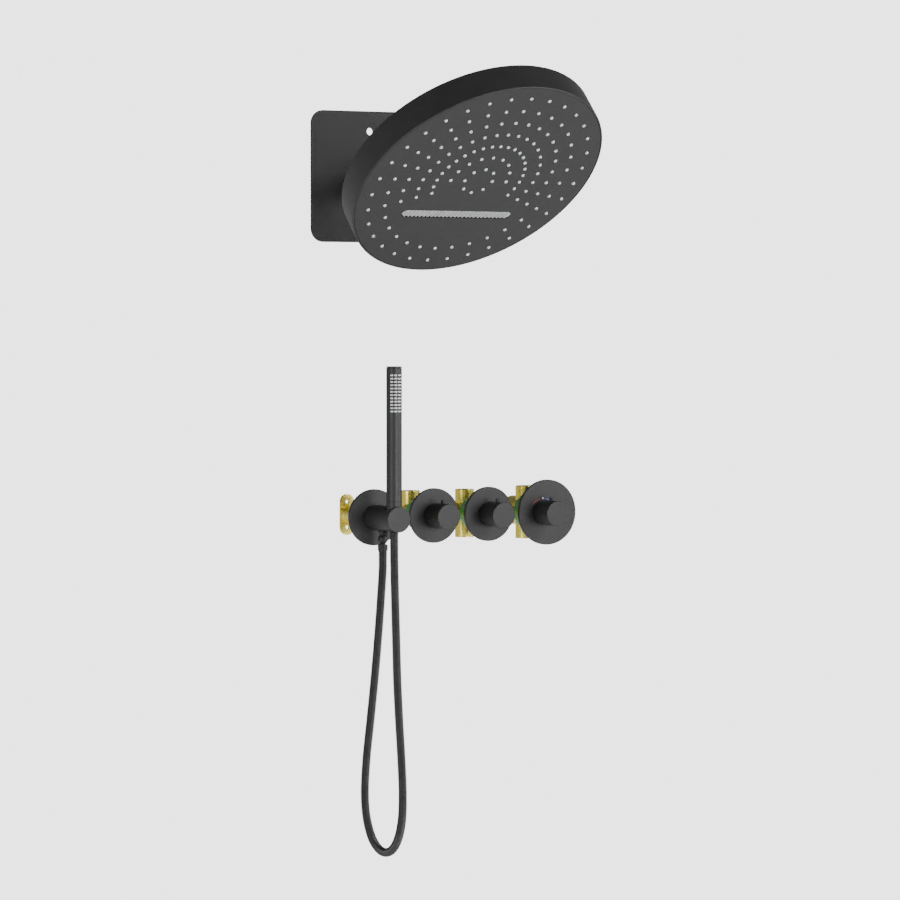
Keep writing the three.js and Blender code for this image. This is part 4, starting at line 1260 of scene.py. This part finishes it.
@dataclass
class Outlet:
    """The hose outlet on the wall with the hand shower's holder."""

    plate_radius: float = 40.0
    thickness: float = 5.0
    nipple: float = 7.9
    holder_radius: float = 18.0
    holder_front: float = 79.0
    wand_out: float = 64.0
    wand_radius: float = 11.0
    liner_radius: float = 13.0
    liner_floor: float = -11.7
    liner_top: float = 13.0
    hose_out: float = 29.6
    ball_height: float = -29.6
    ball_radius: float = 7.2
    hose_pass: float = 9.0
    drop: float = 5.3
    inlet_end: float = 18.3
    joint_bore: float = 2.8
    joint_neck: float = 4.4
    boss: float = 2.6
    boss_height: float = -21.2
    nut_top: float = -37.2
    nut_length: float = 9.4
    nut_radius: float = 7.1
    flutes: int = 24
    lug: float = 4.0
    lug_hole: float = 2.6
    barrel: float = 11.0
    groove: float = 10.2

    def holder(self, place: Matrix) -> None:
        """Builds the round bar with the wand's seat through it.

        Args:
            place: Where the outlet's axis stands.
        """
        start = self.thickness + GAP
        bar = [(0, start), (self.holder_radius, start, 0.3), (self.holder_radius, self.holder_front, 0.7),
               (0, self.holder_front)]
        seat = rod(self.liner_radius + GAP, self.liner_floor - GAP, 20.0)
        hose_pass = rod(self.hose_pass, -20.0, -8.0)
        drop = rod(self.drop, -20.0, -11.7)
        stand = shift(0.0, 0.0, self.wand_out) @ Axis.UP.turn()
        cuts = [Stock().lathe(seat, MEDIUM, stand), Stock().lathe(hose_pass, MEDIUM, stand),
                Stock().lathe(drop, SMALL, shift(0.0, 0.0, self.hose_out) @ Axis.UP.turn())]
        cuts.append(Stock().lathe(rod(self.nipple + GAP, start - 1.0, self.inlet_end), SMALL))
        Stock().lathe(bar, FINE).worked(Cut.AWAY, cuts).piece(
            "holder_skin", COAT, "root", ["hand_holder"], place)
        inner = self.wand_radius + GAP
        liner = [(self.hose_pass, self.liner_floor), (self.liner_radius, self.liner_floor),
                 (self.liner_radius, self.liner_top, 0.4), (inner, self.liner_top, 0.4), (inner, -4.6),
                 (self.hose_pass, -9.2)]
        Stock().lathe(liner, MEDIUM, stand).piece(
            "holder_liner_skin", PLASTIC, "root", ["holder_liner"], place)

    def hose_joint(self, place: Matrix) -> None:
        """Builds the outlet's round joint with its stop boss, and the hose's nut.

        Args:
            place: Where the outlet's axis stands.
        """
        stand = shift(0.0, 0.0, self.hose_out) @ Axis.UP.turn()
        bore, low, steps = self.joint_bore, self.ball_height, 14
        profile: list[Point] = [(bore, -12.0), (5.0, -12.0), (5.0, -18.2), (6.4, -18.4, 0.3),
                                (6.4, -20.4, 0.5), (self.joint_neck, -20.6)]
        for index in range(steps + 1):
            angle = math.radians(52.0 - 104.0 * index / steps)
            profile.append((self.ball_radius * math.cos(angle), low + self.ball_radius * math.sin(angle)))
        profile += [(4.0, low - 6.2), (4.0, low - 12.0), (bore, low - 12.0)]
        boss = [(0, 2.0), (self.boss, 2.0), (self.boss, 13.4, 0.5), (0, 13.4)]
        stock = Stock().lathe(profile, 48, stand)
        stock.worked(Cut.JOIN, [Stock().lathe(boss, SMALL, shift(0.0, self.boss_height, self.hose_out))])
        stock.piece("hose_joint_skin", COAT, "root", ["hose_outlet"], place)
        top, radius = self.nut_top, self.nut_radius
        end = top - self.nut_length
        nut = [(4.3, end), (6.3, end, 0.4), (radius, end + 1.2, 0.3), (radius, top, 0.7), (4.3, top)]
        cutter = Stock()
        for index in range(self.flutes):
            turn = Matrix.Rotation(2 * math.pi * index / self.flutes, 4, "Z")
            cutter.lathe(rod(0.45, top - 7.0, top - 1.6), 8, turn @ shift(radius + 0.1, 0.0, 0.0))
        Stock().lathe(nut, MEDIUM).worked(Cut.AWAY, [cutter]).piece(
            "hose_nut_skin", COAT, "root", ["hose_nut"], place @ stand)

    def connector(self, place: Matrix) -> None:
        """Builds the brass elbow behind the plate with its two screw lugs.

        Args:
            place: Where the outlet's axis stands.
        """
        low, high = wall_box("wall_connector")
        width, height, front = high.x - low.x, high.y - low.y, low.z + self.lug
        stock = Stock().rounded(width, height, width / 2 - WELD, segments=10)
        for side in (-1, 1):
            stock.circle(self.lug_hole, 0.0, side * (height - width) / 2, 24)
        stock.thicken(low.z, front).soften(0.5)
        barrel = [(0, low.z + 1.0), (self.barrel, low.z + 1.0), (self.barrel, front + 6.0, 1.0),
                  (self.groove, front + 7.0), (self.groove, high.z - 6.0), (self.barrel, high.z - 5.2, 0.3),
                  (self.barrel, high.z, 0.6), (0, high.z)]
        supply = rod(5.9, low.z - 1.0, -30.0)
        bore = rod(self.nipple + GAP, -42.3, high.z + 1.0)
        ribs = Stock().box(2.4, height - width - 6.0, 8.0, shift(0.0, 0.0, front + 2.0), 0.6)
        stock.worked(Cut.JOIN, [Stock().lathe(barrel, MEDIUM), ribs])
        stock.worked(Cut.AWAY, [Stock().lathe(supply, 48), Stock().lathe(bore, 48)])
        stock.piece("wall_connector_skin", BRASS, "root", ["wall_connector"], place)
        Stock().lathe(thread_profile(self.nipple, INLET_BORE, -42.0, -22.0, 18.0, 1.4), 48).piece(
            "outlet_nipple_skin", BRASS, "root", ["outlet_nipple"], place)

    def build(self) -> Vector:
        """Builds the outlet and returns where its axis stands."""
        axis = middle("outlet_trim_plate")
        place = shift(axis.x, axis.y, 0.0)
        inner = self.nipple + 2 * GAP
        plate = [(inner, 0), (self.plate_radius, 0, 0.3), (self.plate_radius, self.thickness, 0.7),
                 (inner, self.thickness)]
        Stock().lathe(plate, FINE).piece("outlet_trim_skin", COAT, "root", ["outlet_trim_plate"], place)
        self.holder(place)
        self.hose_joint(place)
        self.connector(place)
        return axis


@dataclass
class Wand:
    """The stick hand shower: tube, cap, spray field and the cone nut of its hose."""

    radius: float = 11.0
    wall: float = 1.8
    cap_height: float = 2.2
    rows: int = 12
    columns: int = 4
    pitch: float = 4.6
    first: float = 12.5
    slot: tuple[float, float] = (4.4, 2.3)
    spread: float = math.radians(30.0)
    opening: float = 0.4  # how much larger the openings are than the nozzles in them
    hose_bore: float = 6.3
    cone_end: float = 7.5
    cone_height: float = 7.4
    cone_bore: float = 8.3
    cone_depth: float = 18.4

    def slots(self, width: float, height: float, inner: float, outer: float, rounding: float) -> Stock:
        """Returns one rounded block for each spray opening.

        Args:
            width: Width of a block round the wand.
            height: Its height.
            inner: Radius where it starts.
            outer: Radius where it ends.
            rounding: Rounding of its edges.

        Returns:
            The blocks as one stock, measured from the wand's top.
        """
        block = Stock().box(width, height, outer - inner, rounding=rounding)
        stock = Stock()
        for row in range(self.rows):
            for column in range(self.columns):
                turn = Matrix.Rotation((column - (self.columns - 1) / 2) * self.spread, 4, "Y")
                down = shift(0.0, -self.first - row * self.pitch)
                stock.add(block, down @ turn @ shift(0.0, 0.0, (inner + outer) / 2))
        return stock

    def build(self, out: float) -> None:
        """Builds the hand shower in its holder.

        Args:
            out: Distance of its axis out of the wall.
        """
        low, high = wall_box("wand_tube")
        cap_low, cap_high = wall_box("wand_cap")
        axis = (low + high) / 2
        place = shift(axis.x, 0.0, out)
        stand = place @ Axis.UP.turn()
        top, bottom, cap = cap_high.y, low.y - 0.2, self.cap_height
        inner = self.radius - self.wall
        tube = [(inner, bottom), (self.radius, bottom, 0.3), (self.radius, top - cap - GAP, 0.15),
                (inner, top - cap - GAP)]
        stock = Stock().lathe(tube, FINE, Axis.UP.turn())
        width, height = self.slot
        down = shift(0.0, top, 0.0)
        more = self.opening
        openings = self.slots(width + more, height + more, inner - 0.2, self.radius + 1.0, 0.0)
        stock.worked(Cut.AWAY, [Stock().add(openings, down)])
        stock.piece("wand_tube_skin", COAT, "wand", ["wand_tube"], place)
        liner = Stock().add(self.slots(width, height, inner - 1.2, self.radius + 0.35, 0.5), down)
        liner.piece("wand_spray_skin", SILICONE, "wand", ["wand_spray_liner"], place)
        plug = inner - GAP
        lid = [(0, cap_low.y), (plug, cap_low.y), (plug, top - cap), (self.radius, top - cap, 0.15),
               (self.radius, top, 0.4), (0, top)]
        Stock().lathe(lid, FINE).piece("wand_cap_skin", COAT, "wand", ["wand_cap"], stand)
        nut_low, nut_high = wall_box("wand_cone_nut")
        start, end = nut_low.y, nut_high.y
        floor = end - self.cone_depth
        cone = [(self.hose_bore, start), (self.cone_end, start, 0.4),
                (self.radius, start + self.cone_height, 0.5), (self.radius, end, 0.3), (self.cone_bore, end),
                (self.cone_bore, floor), (self.hose_bore, floor)]
        Stock().lathe(cone, FINE).piece("cone_nut_skin", COAT, "wand", ["wand_cone_nut"], stand)
        dress("wand_inlet", BRASS)
        dress("hose_end_fitting", BRASS)
        dress("wand_check_valve", PLASTIC)
        dress("wand_washer", RUBBER)


@dataclass
class Hose:
    """The shower hose: a ribbed tube that hangs in one loop from the outlet to the hand shower."""

    radius: float = 6.3
    rib_pitch: float = 3.0
    rib_depth: float = 1.1
    steps_per_rib: int = 6
    sides: int = 20
    x: float = 6.2
    first: tuple[float, float] = (-528.9, 29.6)
    last: tuple[float, float] = (-481.3, 64.0)
    follow_start: Point = (0.0062, -0.03, -0.5283)
    follow_end: Point = (0.0062, -0.0664, -0.5168)

    def points(self) -> list[Vector]:
        """Returns the points that the hose was laid through."""
        laid = [
            (self.x, *self.first), (self.x, -552, 29.4), (4.3, -597, 27.2), (1.6, -655, 23.2),
            (-1.4, -712, 18.4), (-5.2, -769, 13.4), (-9.6, -823, 9.8), (-12.2, -872, 9.4),
            (-12.9, -906, 15.6), (-13.6, -932, 32.0), (-14.2, -946, 54.0), (-15.0, -949, 77.0),
            (-16.2, -942, 100.0), (-17.4, -925, 119.6), (-18.2, -898, 132.6), (-18.8, -862, 136.6),
            (-18.4, -812, 131.8), (-15.4, -758, 119.4), (-9.4, -705, 102.6), (-2.0, -651, 85.4),
            (3.8, -597, 71.4), (self.x, -548, 64.6), (self.x, -515, 64.0), (self.x, *self.last),
        ]
        return [Vector(point) for point in laid]

    @staticmethod
    def _between(four: Sequence[Vector], share: float) -> Vector:
        """Finds a point on a centripetal Catmull-Rom curve.

        Args:
            four: Four points that follow each other on the curve.
            share: How far the point is from the second to the third, from 0 to 1.

        Returns:
            The point.
        """
        before, start, end, after = four
        gaps = [max((b - a).length ** 0.5, 1e-6) for a, b in ((before, start), (start, end), (end, after))]
        leave = (start - before) / gaps[0] - (end - before) / (gaps[0] + gaps[1]) + (end - start) / gaps[1]
        arrive = (end - start) / gaps[1] - (after - start) / (gaps[1] + gaps[2]) + (after - end) / gaps[2]
        leave, arrive = leave * gaps[1], arrive * gaps[1]
        square, cube = share * share, share**3
        ends = start * (2 * cube - 3 * square + 1) + end * (3 * square - 2 * cube)
        return ends + leave * (cube - 2 * square + share) + arrive * (cube - square)

    def centre_line(self, steps: int) -> list[Vector]:
        """Finds evenly spaced points along the hose.

        Args:
            steps: Number of steps between them.

        Returns:
            The points.
        """
        points = self.points()
        padded = [2 * points[0] - points[1], *points, 2 * points[-1] - points[-2]]
        dense = [points[0]]
        for index in range(1, len(padded) - 2):
            four = padded[index - 1:index + 3]
            dense += [self._between(four, step / 40) for step in range(1, 41)]
        lengths = [0.0]
        for first, second in zip(dense, dense[1:]):
            lengths.append(lengths[-1] + (second - first).length)
        line, place = [], 0
        for step in range(steps + 1):
            wanted = lengths[-1] * step / steps
            while place < len(dense) - 2 and lengths[place + 1] < wanted:
                place += 1
            share = (wanted - lengths[place]) / (lengths[place + 1] - lengths[place])
            line.append(dense[place].lerp(dense[place + 1], min(share, 1.0)))
        return line

    def build(self) -> None:
        """Builds the hose as a grid rolled round its centre line, with a rib that winds along it."""
        rough = self.centre_line(400)
        length = sum((b - a).length for a, b in zip(rough, rough[1:]))
        steps = round(length / self.rib_pitch * self.steps_per_rib)
        line = self.centre_line(steps)
        tangents = [(line[min(i + 1, steps)] - line[max(i - 1, 0)]).normalized() for i in range(steps + 1)]
        normals = [tangents[0].orthogonal().normalized()]
        for before, after in zip(tangents, tangents[1:]):
            normal = before.rotation_difference(after) @ normals[-1]
            normals.append((normal - after * normal.dot(after)).normalized())
        stock = Stock()
        bmesh.ops.create_grid(stock.bm, x_segments=steps, y_segments=self.sides, size=0.5)
        for vert in stock.bm.verts:
            along = round((vert.co.x + 0.5) * steps)
            angle = (vert.co.y + 0.5) * 2 * math.pi
            phase = 2 * math.pi * along / self.steps_per_rib + angle
            radius = self.radius - self.rib_depth * (0.5 - 0.5 * math.cos(phase)) ** 2
            side = tangents[along].cross(normals[along])
            vert.co = line[along] + (normals[along] * math.cos(angle) + side * math.sin(angle)) * radius
        bmesh.ops.remove_doubles(stock.bm, verts=stock.bm.verts[:], dist=WELD)
        ends = [e for e in stock.bm.edges if e.is_boundary]
        bmesh.ops.holes_fill(stock.bm, edges=ends, sides=self.sides + 1)
        bmesh.ops.recalc_face_normals(stock.bm, faces=stock.bm.faces[:])
        hose = stock.piece("ribbed_hose", SHEATH, None, ["shower_hose"])
        path = [WALL @ point for point in self.centre_line(200)]
        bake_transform(hose)


# ---------------------------------------------------------------- studio


@dataclass
class Studio:
    """The camera, the pale floor, the surround and the soft lights, in metres."""

    lens: float = 147.46
    sensor: float = 36.0
    stand: Point = (-2.4054, -4.6398, -0.193)
    pitch: float = math.radians(87.88)
    heading: float = math.radians(-28.66)
    furthest: float = 60.0
    seen: float = 3.2  # brightness of the surround and floor to the eye
    surround: float = 0.5  # brightness of the surround as a light
    bounce: float = 0.4  # brightness of the floor as a light
    dim_above: float = 0.12  # the surround's share of light from overhead
    dim_height: float = 0.6
    floor_drop: float = 0.12
    floor_size: float = 30.0
    aim: Point = (0.05, 0.0, -0.35)
    softboxes: tuple[tuple[str, Point, Point, float], ...] = (
        ("left softbox", (-3.4, -1.5, -0.1), (1.2, 3.0), 58.0),
        ("right softbox", (3.6, -2.0, 0.1), (1.6, 3.0), 62.0),
        ("low front softbox", (0.9, -5.2, -0.5), (2.2, 1.4), 112.0),
        ("high front softbox", (2.2, -3.2, 1.7), (1.2, 1.2), 85.0),
    )

    def camera(self) -> None:
        """Places the camera in front of the set and to its left, looking a little down."""
        data = bpy.data.cameras.new("camera")
        data.sensor_width = self.sensor
        data.lens = self.lens
        data.clip_end = self.furthest
        camera = bpy.data.objects.new("camera", data)
        camera.location = self.stand
        camera.rotation_euler = (self.pitch, 0.0, self.heading)
        bpy.context.scene.collection.objects.link(camera)
        bpy.context.scene.camera = camera

    def light(self, name: str, place: Point, size: Point, power: float) -> None:
        """Adds a soft rectangular light that faces the set.

        Args:
            name: The light's name.
            place: Where it stands.
            size: Its width and height.
            power: Its power in watts.
        """
        data = bpy.data.lights.new(name, "AREA")
        data.shape = "RECTANGLE"
        data.size, data.size_y = size
        data.energy = power
        light = bpy.data.objects.new(name, data)
        light.location = place
        light.rotation_euler = (Vector(self.aim) - Vector(place)).to_track_quat("-Z", "Y").to_euler()
        bpy.context.scene.collection.objects.link(light)

    def floor(self) -> None:
        """Lays the pale floor below the hose, as bright to the eye as the surround."""
        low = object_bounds()[0][2]
        mesh = bpy.data.meshes.new("floor")
        bm = bmesh.new()
        bmesh.ops.create_grid(bm, x_segments=1, y_segments=1, size=self.floor_size,
                              matrix=shift(0.0, 0.0, low - self.floor_drop))
        bm.to_mesh(mesh)
        bm.free()
        floor = bpy.data.objects.new("floor", mesh)
        nodes = Nodes("pale_floor")
        mottle = nodes.spread(nodes.noise(3.0, 2.0), 0.0, 1.0)
        pale = nodes.mix(mottle, (0.86, 0.86, 0.86), (0.88, 0.88, 0.88))
        nodes.join(pale, nodes.shader.inputs["Base Color"])
        nodes.shader.inputs["Roughness"].default_value = 0.9
        nodes.shader.inputs["Specular IOR Level"].default_value = 0.1
        nodes.shader.inputs["Emission Color"].default_value = (1.0, 1.0, 1.0, 1.0)
        nodes.shader.inputs["Emission Strength"].default_value = self.bounce
        seen = nodes.add("ShaderNodeEmission")
        seen.inputs["Strength"].default_value = self.seen
        mixed = nodes.add("ShaderNodeMixShader")
        nodes.join(nodes.add("ShaderNodeLightPath").outputs["Is Camera Ray"], mixed.inputs["Fac"])
        nodes.join(nodes.shader.outputs["BSDF"], mixed.inputs[1])
        nodes.join(seen.outputs["Emission"], mixed.inputs[2])
        nodes.join(mixed.outputs["Shader"], nodes.tree.nodes["Material Output"].inputs["Surface"])
        mesh.materials.append(nodes.material)
        bpy.context.scene.collection.objects.link(floor)
        floor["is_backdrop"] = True

    def world(self) -> None:
        """Makes a surround that lights the set softly, darker from above, and is itself seen white."""
        world = bpy.data.worlds.new("surround")
        world.use_nodes = True
        bpy.context.scene.world = world
        tree = world.node_tree
        lit = tree.nodes["Background"]
        lit.inputs["Strength"].default_value = self.surround
        direction = tree.nodes.new("ShaderNodeTexCoord")
        split = tree.nodes.new("ShaderNodeSeparateXYZ")
        ramp = tree.nodes.new("ShaderNodeValToRGB")
        shares = ((0.0, 1.0), (self.dim_height, self.dim_above))
        for stop, (height, share) in zip(ramp.color_ramp.elements, shares):
            stop.position = height
            stop.color = (share, share, share, 1.0)
        tree.links.new(direction.outputs["Generated"], split.inputs["Vector"])
        tree.links.new(split.outputs["Z"], ramp.inputs["Fac"])
        tree.links.new(ramp.outputs["Color"], lit.inputs["Color"])
        seen = tree.nodes.new("ShaderNodeBackground")
        seen.inputs["Color"].default_value = (1.0, 1.0, 1.0, 1.0)
        seen.inputs["Strength"].default_value = self.seen
        path = tree.nodes.new("ShaderNodeLightPath")
        mix = tree.nodes.new("ShaderNodeMixShader")
        tree.links.new(path.outputs["Is Camera Ray"], mix.inputs["Fac"])
        tree.links.new(lit.outputs["Background"], mix.inputs[1])
        tree.links.new(seen.outputs["Background"], mix.inputs[2])
        tree.links.new(mix.outputs["Shader"], tree.nodes["World Output"].inputs["Surface"])

    def build(self) -> None:
        """Builds the floor, the surround and the lights."""
        self.floor()
        self.world()
        for name, place, size, power in self.softboxes:
            self.light(name, place, size, power)


def main() -> None:
    """Builds the set in order."""
    logging.basicConfig(level=logging.INFO, format="%(message)s")
    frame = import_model()
    studio = Studio()
    studio.camera()
    Hose().build()
    ball = joint_place(frame["record"]["behaviour"]["joints"], "head_turn")
    arm = WallArm()
    arm.build(ball)
    RainHead().build(ball, arm.drop_angle)
    first = Valve("valve_1", guard=23.0).build()
    second = Valve("valve_2", guard=23.0).build()
    third = Valve("thermostat", guard=27.0, print_scale=True).build()
    Manifold().build([(first, 17.3, -69.0, -1.0, 33.0), (second, 17.3, -69.0, -37.0, 33.0),
                      (third, 21.0, -48.0, -40.0, 37.0)])
    outlet = Outlet()
    outlet.build()
    Wand().build(outlet.wand_out)
    studio.build()


if __name__ == "__main__":
    main()
